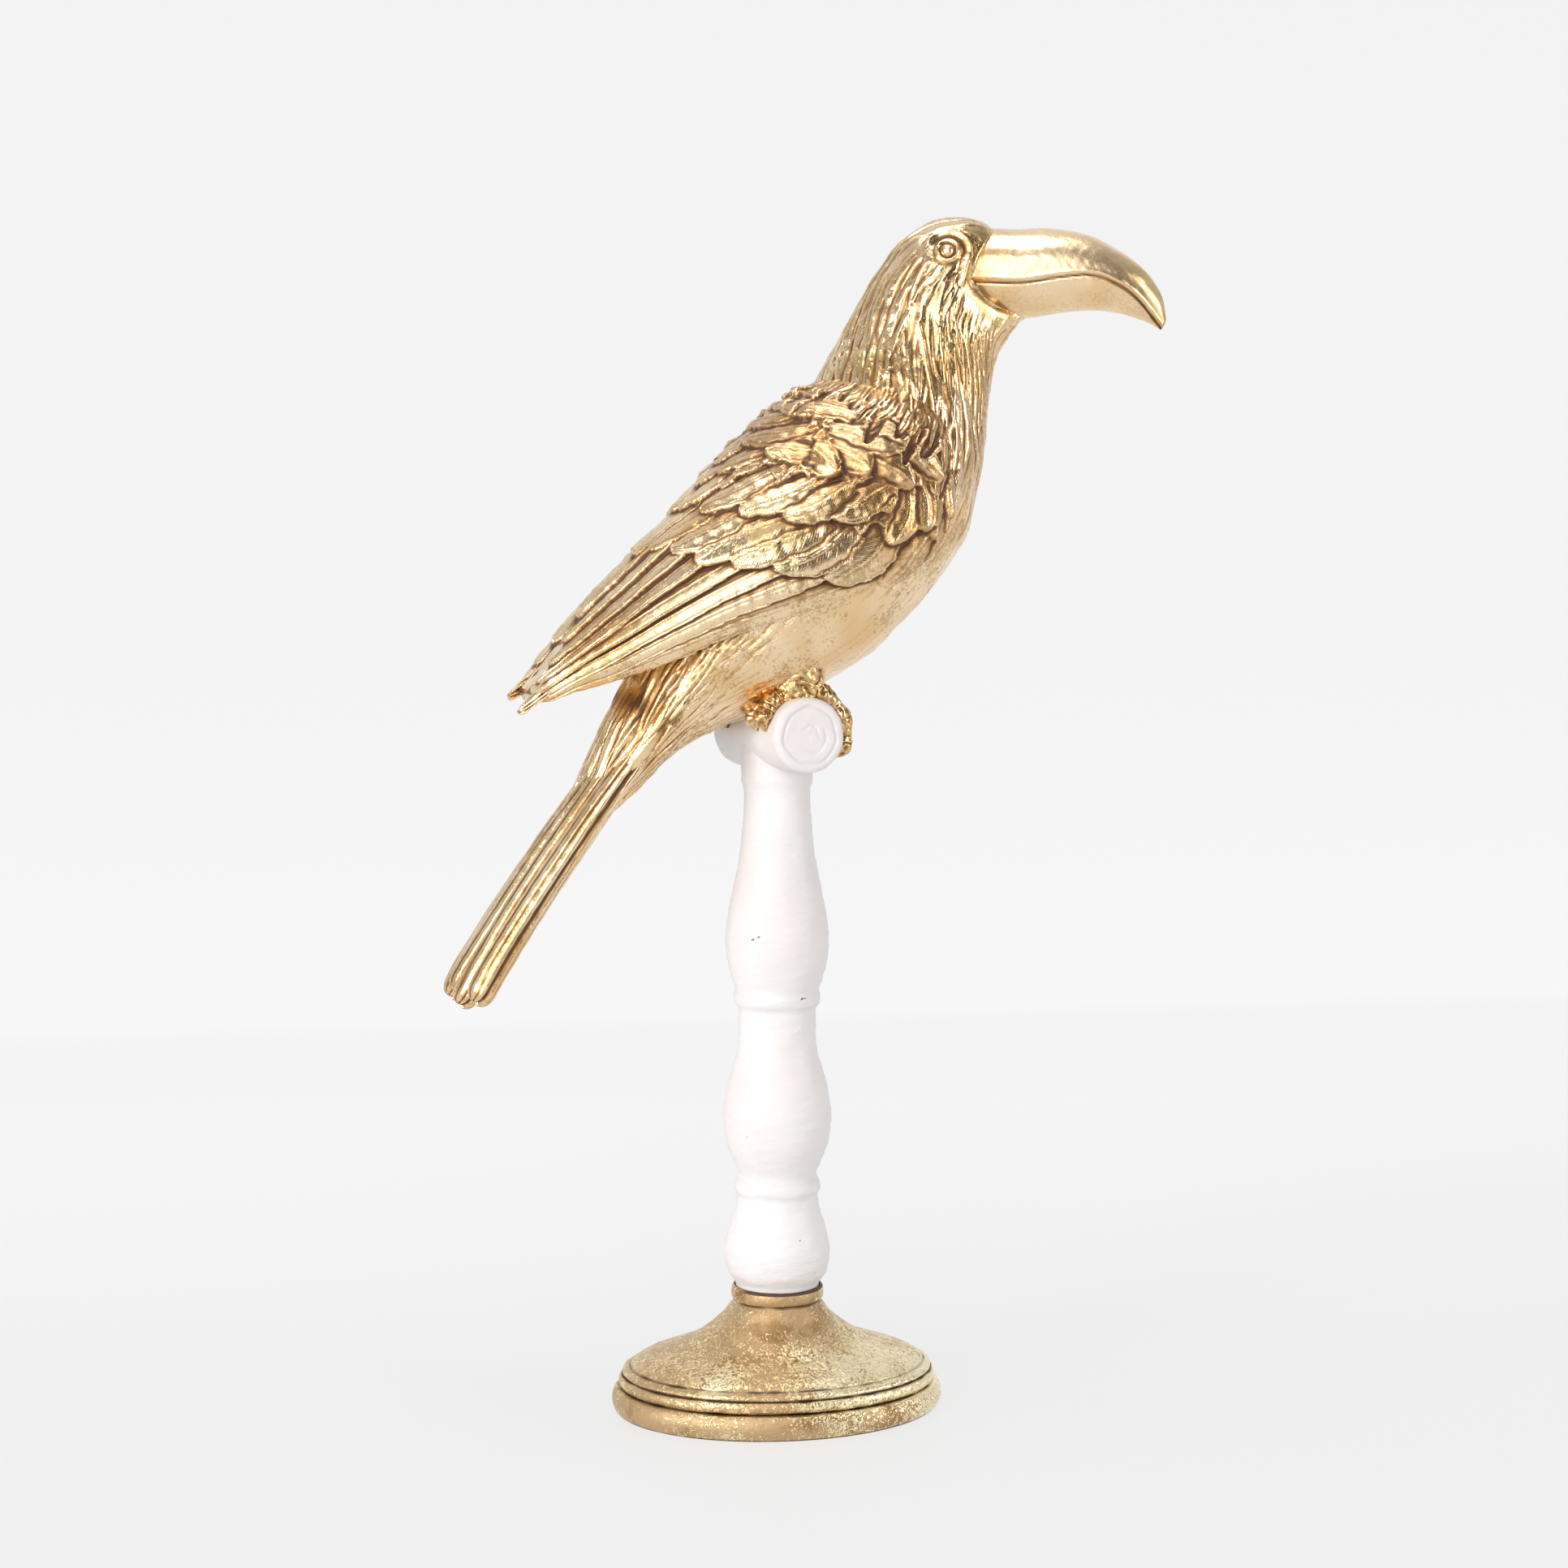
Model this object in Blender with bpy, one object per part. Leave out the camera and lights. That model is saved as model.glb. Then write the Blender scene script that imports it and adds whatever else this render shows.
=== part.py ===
"""Toucan ornament in cast resin: a gilded bird gripping a short log on a white turned column,
which stands in the collar of a gilded oval foot. Metres, +Z up, +X along the foot's long axis
towards the bill. The origin is the middle of the foot's underside."""

import math

import bmesh
import bpy
import numpy as np
from mathutils import Matrix, Vector
from mathutils.bvhtree import BVHTree

# Clearance between two castings that touch
GAP = 0.0003

# Oval foot
FOOT_LENGTH = 0.1180
FOOT_DEPTH = 0.0915
ROLL_HEIGHT = 0.0083
ROLL_BULGE = 0.0016
TIER_HEIGHT = 0.0068
TIER_INSET = 0.0036
GROOVE_DEPTH = 0.0016
FLARE_HEIGHT = 0.0233
COLLAR_HEIGHT = 0.0051
COLLAR_WALL = 0.0013
SOCKET_DEPTH = 0.0030
ROLL_ARC = 1.05
BEAD_ARC = 1.1
BEAD_BULGE = 0.0022

# Turned column
COLUMN_HEIGHT = 0.1950
COLUMN_FOOT_RADIUS = 0.0148
COLUMN_NECK_RADIUS = 0.0116
COLUMN_BELLY_RADIUS = 0.0189
COLUMN_WAIST_RADIUS = 0.0138
COLUMN_RING_RADIUS = 0.0013

# Perch log across the top of the column
LOG_RADIUS = 0.0131
LOG_LENGTH = 0.0575
LOG_EDGE_RADIUS = 0.0016
LOG_GROOVE_DEPTH = 0.0008
LOG_TURN = math.radians(13.0)

# Bird
BIRD_HEIGHT = 0.2720
BODY_TURN = math.radians(8.0)
HEAD_TURN = math.radians(-24.0)
EYE_RADIUS = 0.0029
TOE_RADIUS = 0.0036
FOOT_SPREAD = 0.0165
FEATHER_LIFT = 0.0024

# Casting grid: the bird's forms are fused on it and then thinned to flat facets
FUSE_SIZE = 0.0009
FACET_SHARE = 0.0199

# Facets round and along the forms
ROUND_STEPS = 64
COLUMN_ROWS = 25
COLUMN_SIDES = 18
LOG_SIDES = 22
FOOT_SIDES = 30

# The bird is drawn in millimetres round the middle of its log, then scaled to its height
DRAWN_HEIGHT = 272.0
HEAD_PIVOT = 49.0

# Body from the tail to the bill: back (along, up), belly (along, up), half width, share of the
# head's turn, and how far the section's sides sweep back
BODY_SECTIONS = (
    ((-96.5, -56.0), (-91.0, -59.5), 9.0, 0.0, 0.0),
    ((-82.5, -33.5), (-73.0, -39.5), 13.0, 0.0, 0.0),
    ((-70.0, -10.5), (-53.5, -21.5), 17.0, 0.0, 0.0),
    ((-60.0, 8.0), (-36.0, -8.0), 21.5, 0.0, 0.0),
    ((-51.0, 25.0), (-22.0, 0.0), 23.0, 0.0, 0.0),
    ((-42.0, 42.0), (-7.0, 5.0), 26.5, 0.0, 0.0),
    ((-31.0, 59.0), (13.0, 12.0), 33.0, 0.0, 0.0),
    ((-19.0, 76.0), (35.0, 28.5), 38.5, 0.0, 0.0),
    ((-7.0, 91.0), (53.5, 48.0), 41.5, 0.0, 0.0),
    ((4.0, 105.0), (66.5, 66.0), 41.0, 0.0, 0.0),
    ((13.0, 117.0), (73.0, 86.0), 37.5, 0.05, 0.0),
    ((19.0, 128.5), (75.8, 104.0), 33.0, 0.2, 0.0),
    ((24.5, 139.0), (78.0, 121.0), 29.0, 0.5, 0.0),
    ((31.0, 150.5), (80.0, 131.0), 27.0, 0.85, 0.0),
    ((38.0, 162.5), (82.0, 136.0), 25.5, 1.0, 1.0),
    ((46.5, 173.0), (84.0, 139.3), 24.5, 1.0, 2.5),
    ((56.5, 179.3), (86.0, 142.0), 23.0, 1.0, 5.0),
    ((67.0, 181.0), (88.0, 144.0), 21.6, 1.0, 8.0),
    ((75.0, 179.6), (89.8, 145.0), 18.6, 1.0, 11.0),
    ((78.6, 177.6), (91.0, 145.6), 16.8, 1.0, 13.0),
)

# Bill: ridge (along, up), underside (along, up), half width, height share of the mouth line
BILL_SECTIONS = (
    ((60.0, 172.0), (66.0, 150.0), 12.0, 0.36),
    ((76.0, 176.2), (79.0, 146.0), 14.4, 0.36),
    ((87.0, 176.4), (90.0, 145.8), 15.0, 0.35),
    ((98.0, 176.8), (103.0, 147.6), 14.6, 0.37),
    ((112.0, 174.3), (114.5, 148.2), 13.2, 0.42),
    ((123.0, 168.8), (122.5, 147.2), 11.2, 0.41),
    ((132.0, 161.8), (128.5, 145.4), 8.4, 0.34),
    ((137.8, 153.0), (133.5, 143.4), 5.0, 0.23),
    ((139.6, 145.0), (137.6, 141.0), 2.2, 0.15),
)

# Folded wings: ridge of the back, lower edge, lower edge's half width, widest half width
WING_SECTIONS = (
    ((25.0, 127.0), (54.0, 115.0), 25.0, 28.0),
    ((14.0, 121.5), (55.0, 102.0), 32.0, 39.5),
    ((2.0, 116.0), (53.0, 84.0), 37.0, 45.0),
    ((-10.0, 106.0), (46.0, 65.0), 39.0, 47.5),
    ((-23.0, 93.5), (28.0, 51.0), 38.0, 46.5),
    ((-36.0, 79.0), (3.0, 42.0), 35.5, 43.5),
    ((-49.0, 65.0), (-22.0, 35.0), 31.0, 38.5),
    ((-60.0, 53.5), (-42.0, 27.5), 26.5, 33.0),
    ((-71.0, 42.0), (-59.0, 21.0), 21.5, 27.5),
    ((-81.0, 30.5), (-75.0, 16.5), 16.0, 21.0),
    ((-88.0, 22.0), (-84.5, 13.0), 10.5, 14.5),
    ((-91.5, 17.0), (-89.0, 12.3), 5.5, 8.0),
)

# Covert rows: tip station on the back, tip station at the lower edge, length, feathers across
COVERT_ROWS = (
    (6.3, 4.3, 2.3, 7),
    (5.2, 3.9, 2.0, 8),
    (4.3, 3.4, 1.7, 8),
    (3.6, 2.9, 1.5, 8),
    (2.9, 2.3, 1.4, 7),
    (2.2, 1.7, 1.3, 7),
    (1.5, 1.1, 1.2, 6),
)

# Long quills: stations of their roots and first tip, and the step from tip to tip
QUILL_COUNT = 9
QUILL_ROOT = 3.0
QUILL_FIRST_TIP = 7.4
QUILL_TIP_STEP = 0.62
QUILL_HALF = 0.085

# Tail: line of its middle (along, up) and its feathers' side steps
TAIL_LINE = ((-42.0, 14.0), (-54.0, -2.0), (-66.0, -18.0), (-79.0, -35.5), (-92.5, -54.5),
             (-106.5, -75.5), (-115.0, -89.5))
TAIL_FEATHERS = 5
TAIL_STEP = 8.2
TAIL_FEATHER_HALF = 6.2
TAIL_FEATHER_THICK = 4.4

# Wing tips: where the two longest quills end past the cowl (along, side, up)
QUILL_TIPS = ((-94.5, -8.5, 9.0), (-94.0, 8.5, 14.0))

# Face in the head's own side view: eye (along, up), its ring as a share of the eye's radius,
# and the brow's reach round the eye
EYE_PLACE = (64.2, 166.8)
EYE_RING_SHARE = 1.55
EYE_RING_WIRE = 0.85
BROW_REACH = (7.6, 6.8)
BROW_WIRE = 1.0
CHEEK_DROP = 7.5

# Toes round the log: start and end angle of the front and rear toes, and how much the claw thins
FRONT_TOE = (math.radians(100.0), math.radians(-38.0))
REAR_TOE = (math.radians(80.0), math.radians(196.0))
CLAW_SHARE = 0.22
CLAW_THINNING = 0.72
THIGH_RADII = (13.0, 7.6)


def clear_scene():
    for item in list(bpy.data.objects):
        bpy.data.objects.remove(item, do_unlink=True)


def material(name, colour, roughness, metallic):
    paint = bpy.data.materials.new(name)
    paint.use_nodes = True
    shader = paint.node_tree.nodes["Principled BSDF"]
    shader.inputs["Base Color"].default_value = (*colour, 1.0)
    shader.inputs["Roughness"].default_value = roughness
    shader.inputs["Metallic"].default_value = metallic
    return paint


def spline(rows, where):
    """Smooth curve through evenly numbered rows, read at fractional row numbers."""
    rows = np.asarray(rows, float)
    padded = np.vstack([2 * rows[0] - rows[1], rows, 2 * rows[-1] - rows[-2]])
    where = np.clip(np.atleast_1d(where), 0, len(rows) - 1)
    first = np.minimum(where.astype(int), len(rows) - 2)
    t = (where - first)[:, None]
    p0, p1, p2, p3 = (padded[first + k] for k in range(4))
    return 0.5 * (2 * p1 + (p2 - p0) * t + (2 * p0 - 5 * p1 + 4 * p2 - p3) * t**2
                  + (3 * p1 - p0 - 3 * p2 + p3) * t**3)


def mesh_object(name, points, faces, paint=None):
    mesh = bpy.data.meshes.new(name)
    mesh.from_pydata([tuple(map(float, p)) for p in points], [], faces)
    mesh.validate()
    if paint:
        mesh.materials.append(paint)
    item = bpy.data.objects.new(name, mesh)
    bpy.context.collection.objects.link(item)
    return item


def ring_faces(rings, steps):
    """Quads between neighbouring rings of points."""
    faces = []
    for r in range(rings - 1):
        low, high = r * steps, (r + 1) * steps
        for k in range(steps):
            n = (k + 1) % steps
            faces.append((low + k, low + n, high + n, high + k))
    return faces


def loft(rings):
    """Closed form through rings of points, each end capped by a fan round its middle."""
    rings = np.asarray(rings, float)
    count, steps, _ = rings.shape
    points = [*rings.reshape(-1, 3), rings[0].mean(axis=0), rings[-1].mean(axis=0)]
    faces = ring_faces(count, steps)
    last = (count - 1) * steps
    for k in range(steps):
        n = (k + 1) % steps
        faces.append((count * steps, n, k))
        faces.append((count * steps + 1, last + k, last + n))
    return points, faces


def turned_head(points, share):
    """Turns points about the neck's upright line by a share of the head's turn."""
    angle = HEAD_TURN * np.asarray(share)
    along = points[..., 0] - HEAD_PIVOT
    side = points[..., 1]
    turned = points.copy()
    turned[..., 0] = HEAD_PIVOT + along * np.cos(angle) - side * np.sin(angle)
    turned[..., 1] = along * np.sin(angle) + side * np.cos(angle)
    return turned


def body_rings(count=90):
    table = [(*back, *belly, *rest) for back, belly, *rest in BODY_SECTIONS]
    rows = spline(table, np.linspace(0, len(table) - 1, count))
    angle = np.linspace(0, 2 * math.pi, ROUND_STEPS, endpoint=False)
    rings = []
    for back_x, back_z, belly_x, belly_z, half, turn, sweep in rows:
        along = (back_x + belly_x) / 2 + (back_x - belly_x) / 2 * np.cos(angle)
        along -= sweep * np.sin(angle) ** 2
        up = (back_z + belly_z) / 2 + (back_z - belly_z) / 2 * np.cos(angle)
        side = half * np.sin(angle)
        ring = np.stack([along, side, up], axis=-1)
        rings.append(turned_head(ring, np.clip(turn, 0, 1)))
    return rings


def bill_rings(count=64):
    """Upper half over a slightly narrower lower half, parted by the mouth line."""
    table = [(*ridge, *under, half, mouth) for ridge, under, half, mouth in BILL_SECTIONS]
    rows = spline(table, np.linspace(0, len(table) - 1, count))
    angle = np.linspace(0, 2 * math.pi, ROUND_STEPS, endpoint=False)
    rings = []
    for ridge_x, ridge_z, under_x, under_z, half, mouth in rows:
        level = np.cos(angle)
        below = (2 * mouth - 1 - level) * math.hypot(ridge_x - under_x, ridge_z - under_z) / 2
        lower = 1 / (1 + np.exp(-below / 0.35))
        lip = 0.7 * np.exp(-((below + 1.0) / 0.9) ** 2)
        groove = 1.3 * np.exp(-((below - 0.5) / 0.8) ** 2)
        reach = np.clip(1 - (1.1 * lower + groove - lip) / half, 0.2, 1.2)
        along = (ridge_x + under_x) / 2 + (ridge_x - under_x) / 2 * level
        up = (ridge_z + under_z) / 2 + (ridge_z - under_z) / 2 * level
        side = half * np.sin(angle) * reach
        rings.append(turned_head(np.stack([along, side, up], axis=-1), 1.0))
    return rings


def vane(station, across, root, tip, middle, half):
    """Share along and across one feather, with its rounded outline as an inside mask."""
    a = (station - root) / (tip - root)
    b = (across - middle) / half
    blunt = np.clip((a - 0.55) / 0.45, 0, 1)
    edge = np.sqrt(np.clip(1 - blunt**2.4, 0, 1))
    return a, b, (a > 0) & (a < 1) & (np.abs(b) < edge)


def wing_relief(station, across):
    """Share of a feather's lift at each place: long quills first, then each covert row over them."""
    relief = np.zeros_like(station)
    for k in reversed(range(QUILL_COUNT)):
        middle = 0.02 + 0.115 * k
        tip = min(QUILL_FIRST_TIP + QUILL_TIP_STEP * k, len(WING_SECTIONS) - 1.0)
        a, b, inside = vane(station, across, QUILL_ROOT, tip, middle, QUILL_HALF)
        height = 0.25 + 0.75 * (b + 1) / 2 + 0.25 * a
        relief = np.where(inside, height, relief)
    for top, low, length, count in COVERT_ROWS:
        for k in range(count + 1):
            middle = (k + 0.5 * (count % 2)) / count
            tip = top + (low - top) * min(middle, 1.0) ** 1.3
            a, b, inside = vane(station, across, tip - length, tip, middle, 0.62 / count)
            height = 0.2 + 1.1 * a - 0.3 * b**2
            relief = np.where(inside, height, relief)
    return relief - 1.1


def wing_rings(lift, count=150, steps=56):
    """Both folded wings as one cowl over the back, from the shoulders to the crossed tips."""
    table = [(*ridge, *low, edge, wide) for ridge, low, edge, wide in WING_SECTIONS]
    where = np.linspace(0, len(table) - 1, count)
    rows = spline(table, where)
    rings = []
    across = np.abs(np.linspace(-1, 1, 2 * steps + 1))
    hand = np.sign(np.linspace(-1, 1, 2 * steps + 1))
    for station, (ridge_x, ridge_z, low_x, low_z, edge, wide) in zip(where, rows):
        last = math.pi - math.asin(min(edge / wide, 0.999))
        angle = across * last
        down = (1 - np.cos(angle)) / (1 - math.cos(last))
        side = hand * wide * np.sin(angle)
        out_side = hand * np.sin(angle)
        out_plane = np.cos(angle)
        height = lift * wing_relief(np.full_like(across, station), across)
        span = math.hypot(ridge_x - low_x, ridge_z - low_z)
        way_x, way_z = (ridge_x - low_x) / span, (ridge_z - low_z) / span
        along = ridge_x + (low_x - ridge_x) * down + way_x * out_plane * height
        up = ridge_z + (low_z - ridge_z) * down + way_z * out_plane * height
        rings.append(np.stack([along, side + out_side * height, up], axis=-1))
    return rings


def tail_rings(k, count=60):
    """One long tail feather, the middle one on top and the outer ones stepping down and back."""
    place = k - (TAIL_FEATHERS - 1) / 2
    outer = abs(place)
    line = spline(TAIL_LINE, np.linspace(0, len(TAIL_LINE) - 1, count))
    way = np.gradient(line, axis=0)
    way /= np.linalg.norm(way, axis=1)[:, None]
    over = np.stack([way[:, 1], -way[:, 0]], axis=-1)
    over *= np.sign(over[:, 1:2])
    angle = np.linspace(0, 2 * math.pi, 24, endpoint=False)
    rings = []
    for n in range(count):
        run = n / (count - 1)
        blunt = math.sqrt(max(1 - max((run - 0.93) / 0.07, 0) ** 2.5, 0.02))
        reach = run * (1 - 0.02 * outer) * (count - 1)
        base = spline(line, reach)[0]
        drop = -1.0 * outer**1.5 - 0.4
        half = TAIL_FEATHER_HALF * blunt * (0.9 + 0.15 * run)
        thick = TAIL_FEATHER_THICK * (0.45 + 0.55 * blunt)
        side = TAIL_STEP * place * (0.78 + 0.4 * run)
        lift = drop + thick * np.cos(angle)
        along = base[0] + over[n, 0] * lift
        up = base[1] + over[n, 1] * lift
        rings.append(np.stack([along, side + half * np.sin(angle), up], axis=-1))
    return rings


def quill_tip_rings(tip, count=24):
    """Longest quill of one wing, a flat blade that runs out of the cowl to a rounded tip."""
    hand = math.copysign(1, tip[1])
    line = spline(((-58.0, hand * 21.0, 36.0), (-76.0, hand * 15.0, 24.0), tip), np.linspace(0, 2, count))
    angle = np.linspace(0, 2 * math.pi, 20, endpoint=False)
    rings = []
    for n, (along, side, up) in enumerate(line):
        run = n / (count - 1)
        blunt = math.sqrt(max(1 - max((run - 0.8) / 0.2, 0) ** 2.2, 0.03))
        wide, thick = 7.5 * blunt * (1 - 0.35 * run), 2.4 * (0.5 + 0.5 * blunt)
        rings.append(np.stack([along + 0.45 * wide * np.cos(angle),
                               side + thick * np.sin(angle) - hand * 0.15 * wide * np.cos(angle),
                               up + 0.85 * wide * np.cos(angle)], axis=-1))
    return rings


def tube_rings(path, radii, steps=20):
    """Round rings along a path, each square to the path."""
    path = np.asarray(path, float)
    way = np.gradient(path, axis=0)
    way /= np.linalg.norm(way, axis=1)[:, None]
    angle = np.linspace(0, 2 * math.pi, steps, endpoint=False)
    rings = []
    side = np.cross(way[0], (0.31, 0.87, 0.38))
    for point, direction, radius in zip(path, way, radii):
        side = side - direction * side.dot(direction)
        side /= np.linalg.norm(side)
        other = np.cross(direction, side)
        rings.append(point + radius * (np.cos(angle)[:, None] * side + np.sin(angle)[:, None] * other))
    return rings


def toe_rings(middle, bend, radius, log_radius, count=40):
    """One toe bent round the log from its top, with knuckles and a claw that narrows to a point."""
    run = np.linspace(0, 1, count)
    angle = bend[0] + (bend[1] - bend[0]) * run
    swell = 1 + 0.10 * np.cos(run * 7 * math.pi)
    claw = np.clip((run - 1 + CLAW_SHARE) / CLAW_SHARE, 0, 1)
    thick = radius * swell * (1 - CLAW_THINNING * claw)
    reach = log_radius + thick * 0.62
    path = np.stack([reach * np.cos(angle), np.full(count, middle), reach * np.sin(angle)], axis=-1)
    return tube_rings(path, thick)


def surface_point(tree, along, up, hand):
    """Point on one side of the head, with its outward normal, read by a ray from that side."""
    origin = Vector((along, hand * 200.0, up))
    place, normal, _, _ = tree.ray_cast(origin, Vector((0.0, -hand, 0.0)))
    return np.array(place), np.array(normal)


def ball_rings(middle, radius, count=14, steps=20):
    rings = []
    for lift in np.linspace(-0.98, 0.98, count):
        angle = np.linspace(0, 2 * math.pi, steps, endpoint=False)
        flat = math.sqrt(1 - lift**2)
        ring = np.stack([flat * np.cos(angle), flat * np.sin(angle), np.full(steps, lift)], axis=-1)
        rings.append(middle + radius * ring)
    return rings


def straight_head(rings):
    """Head rings before their turn, so that the face is laid out in the head's own side view."""
    back = []
    for ring in rings:
        ring = np.asarray(ring)
        along = ring[:, 0] - HEAD_PIVOT
        side = ring[:, 1]
        flat = ring.copy()
        flat[:, 0] = HEAD_PIVOT + along * math.cos(-HEAD_TURN) - side * math.sin(-HEAD_TURN)
        flat[:, 1] = along * math.sin(-HEAD_TURN) + side * math.cos(-HEAD_TURN)
        back.append(flat)
    return back


def face_forms(body, unit):
    """Eyes, their rings, and the raised rim that runs from over the eye down to the gape."""
    forms = []
    points, faces = loft(straight_head(body[-34:]))
    tree = BVHTree.FromPolygons([Vector(p) for p in points], faces)
    eye = EYE_RADIUS / unit
    eye_along, eye_up = EYE_PLACE
    reach_along, reach_up = BROW_REACH
    for hand in (-1, 1):
        centre, normal = surface_point(tree, eye_along, eye_up, hand)
        forms.append(ball_rings(centre - normal * eye * 0.35, eye))
        rim = []
        for turn in np.linspace(0, 2 * math.pi, 33):
            place, out = surface_point(tree, eye_along + EYE_RING_SHARE * eye * math.cos(turn),
                                       eye_up + EYE_RING_SHARE * eye * math.sin(turn), hand)
            rim.append(place + out * 0.1)
        forms.append(tube_rings(rim, np.full(len(rim), EYE_RING_WIRE), steps=12))
        brow = []
        for turn in np.linspace(2.7, -0.5, 26):
            brow.append((eye_along + reach_along * math.cos(turn), eye_up + reach_up * math.sin(turn)))
        front, low = brow[-1]
        for share in np.linspace(0.15, 1, 8):
            brow.append((front - share, low - CHEEK_DROP * share))
        line = [surface_point(tree, along, up, hand)[0] for along, up in brow]
        forms.append(tube_rings(line, np.full(len(line), BROW_WIRE), steps=12))
    return [[turned_head(np.asarray(ring), 1.0) for ring in form] for form in forms]


def bird_forms(unit):
    """All of the bird's closed forms in drawn millimetres round the middle of the log."""
    body = body_rings()
    forms = [body, bill_rings(), wing_rings(FEATHER_LIFT / unit)]
    forms += [tail_rings(k) for k in range(TAIL_FEATHERS)]
    forms += [quill_tip_rings(tip) for tip in QUILL_TIPS]
    forms += face_forms(body, unit)
    return forms


def leg_forms(unit):
    """Feathered thighs and toes, laid out square to the log."""
    log_radius = LOG_RADIUS / unit
    toe = TOE_RADIUS / unit
    forms = []
    for hand in (-1, 1):
        middle = hand * FOOT_SPREAD / unit
        thigh = [(8.0, middle * 1.15, 30.0), (5.0, middle * 1.08, 22.0), (1.5, middle, log_radius + 3.0),
                 (0.0, middle, log_radius - 2.0)]
        path = spline(thigh, np.linspace(0, 3, 12))
        forms.append(tube_rings(path, np.linspace(*THIGH_RADII, 12), steps=28))
        for step in (-1, 1):
            place = middle + step * toe * 1.02
            forms.append(toe_rings(place, FRONT_TOE, toe, log_radius))
            forms.append(toe_rings(place * 0.97, REAR_TOE, toe * 0.92, log_radius))
    return forms


def join_forms(name, groups, paint):
    """One object from groups of forms, each group moved by its own matrix."""
    points, faces = [], []
    for forms, matrix in groups:
        for rings in forms:
            new_points, new_faces = loft(rings)
            start = len(points)
            points += [matrix @ Vector(p) for p in new_points]
            faces += [tuple(start + k for k in face) for face in new_faces]
    item = mesh_object(name, points, faces, paint)
    grown = bmesh.new()
    grown.from_mesh(item.data)
    bmesh.ops.recalc_face_normals(grown, faces=grown.faces)
    grown.to_mesh(item.data)
    grown.free()
    return item


def turned_form(name, profile, steps, paint=None):
    """Solid of revolution about Z from a closed profile of (radius, height), drawn top to bottom."""
    angle = np.linspace(0, 2 * math.pi, steps, endpoint=False)
    way = np.stack([np.cos(angle), np.sin(angle)], axis=-1)
    rings = [np.column_stack([radius * way, np.full(steps, height)]) for radius, height in profile]
    points, faces = loft(rings)
    return mesh_object(name, points, faces, paint)


def column_profile(bottom):
    """Column's outline from its foot up: three swellings parted by thin rings, then a slim neck."""
    seated = (SOCKET_DEPTH + GAP) / COLUMN_HEIGHT
    knots = (
        (0.000, COLUMN_FOOT_RADIUS), (seated, COLUMN_FOOT_RADIUS), (0.042, COLUMN_BELLY_RADIUS * 0.94),
        (0.080, COLUMN_BELLY_RADIUS * 0.99), (0.120, COLUMN_BELLY_RADIUS * 0.90),
        (0.150, COLUMN_WAIST_RADIUS * 1.11), (0.172, COLUMN_WAIST_RADIUS * 1.05),
        (0.214, COLUMN_WAIST_RADIUS), (0.244, COLUMN_WAIST_RADIUS * 1.15),
        (0.278, COLUMN_BELLY_RADIUS * 0.965), (0.328, COLUMN_BELLY_RADIUS * 1.01),
        (0.378, COLUMN_BELLY_RADIUS * 0.94), (0.410, COLUMN_WAIST_RADIUS * 1.15),
        (0.444, COLUMN_WAIST_RADIUS * 1.03), (0.485, COLUMN_WAIST_RADIUS * 0.98),
        (0.540, COLUMN_WAIST_RADIUS * 1.02), (0.573, COLUMN_WAIST_RADIUS * 1.15),
        (0.604, COLUMN_BELLY_RADIUS * 0.925), (0.646, COLUMN_BELLY_RADIUS * 0.965),
        (0.685, COLUMN_BELLY_RADIUS * 0.925), (0.733, COLUMN_BELLY_RADIUS * 0.835),
        (0.800, COLUMN_NECK_RADIUS * 1.14), (0.868, COLUMN_NECK_RADIUS * 1.035),
        (0.915, COLUMN_NECK_RADIUS), (0.937, COLUMN_NECK_RADIUS * 1.08), (1.000, LOG_RADIUS * 0.97),
    )
    heights = np.array(knots)[:, 0]
    rings = (0.197, 0.538)
    share = [0.0, seated]
    share += list(np.linspace(seated, 1, COLUMN_ROWS)[1:])
    for place in rings:
        share += [place - 0.0135, place - 0.009, place, place + 0.009, place + 0.0135]
    share = np.unique(np.round(share, 5))
    smooth = spline(np.array(knots), np.interp(share, heights, np.arange(len(knots))))
    radius = np.interp(share, smooth[:, 0], smooth[:, 1])
    for place in rings:
        radius = radius + COLUMN_RING_RADIUS * np.sqrt(np.clip(1 - ((share - place) / 0.0135) ** 2, 0, 1))
    radius = np.where(share <= seated + 1e-6, COLUMN_FOOT_RADIUS, radius)
    return [(r, bottom + h * COLUMN_HEIGHT) for r, h in zip(radius, share)]


def log_profile():
    """Perch log about its own axis: rounded edges and one ring cut in each end."""
    half = LOG_LENGTH / 2
    inner = LOG_RADIUS * 0.66
    outer = LOG_RADIUS * 0.76
    side = []
    for turn in np.linspace(math.pi / 2, 0, 3):
        side.append((LOG_RADIUS - LOG_EDGE_RADIUS * (1 - math.cos(turn)),
                     half - LOG_EDGE_RADIUS * (1 - math.sin(turn))))
    face = [(inner * 0.45, half - LOG_GROOVE_DEPTH * 0.4), (inner, half - LOG_GROOVE_DEPTH * 0.4),
            ((inner + outer) / 2, half - LOG_GROOVE_DEPTH), (outer, half)]
    top = face + side
    return [(r, -z) for r, z in top] + [(LOG_RADIUS, 0.0)] + [(r, z) for r, z in reversed(top)]


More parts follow.
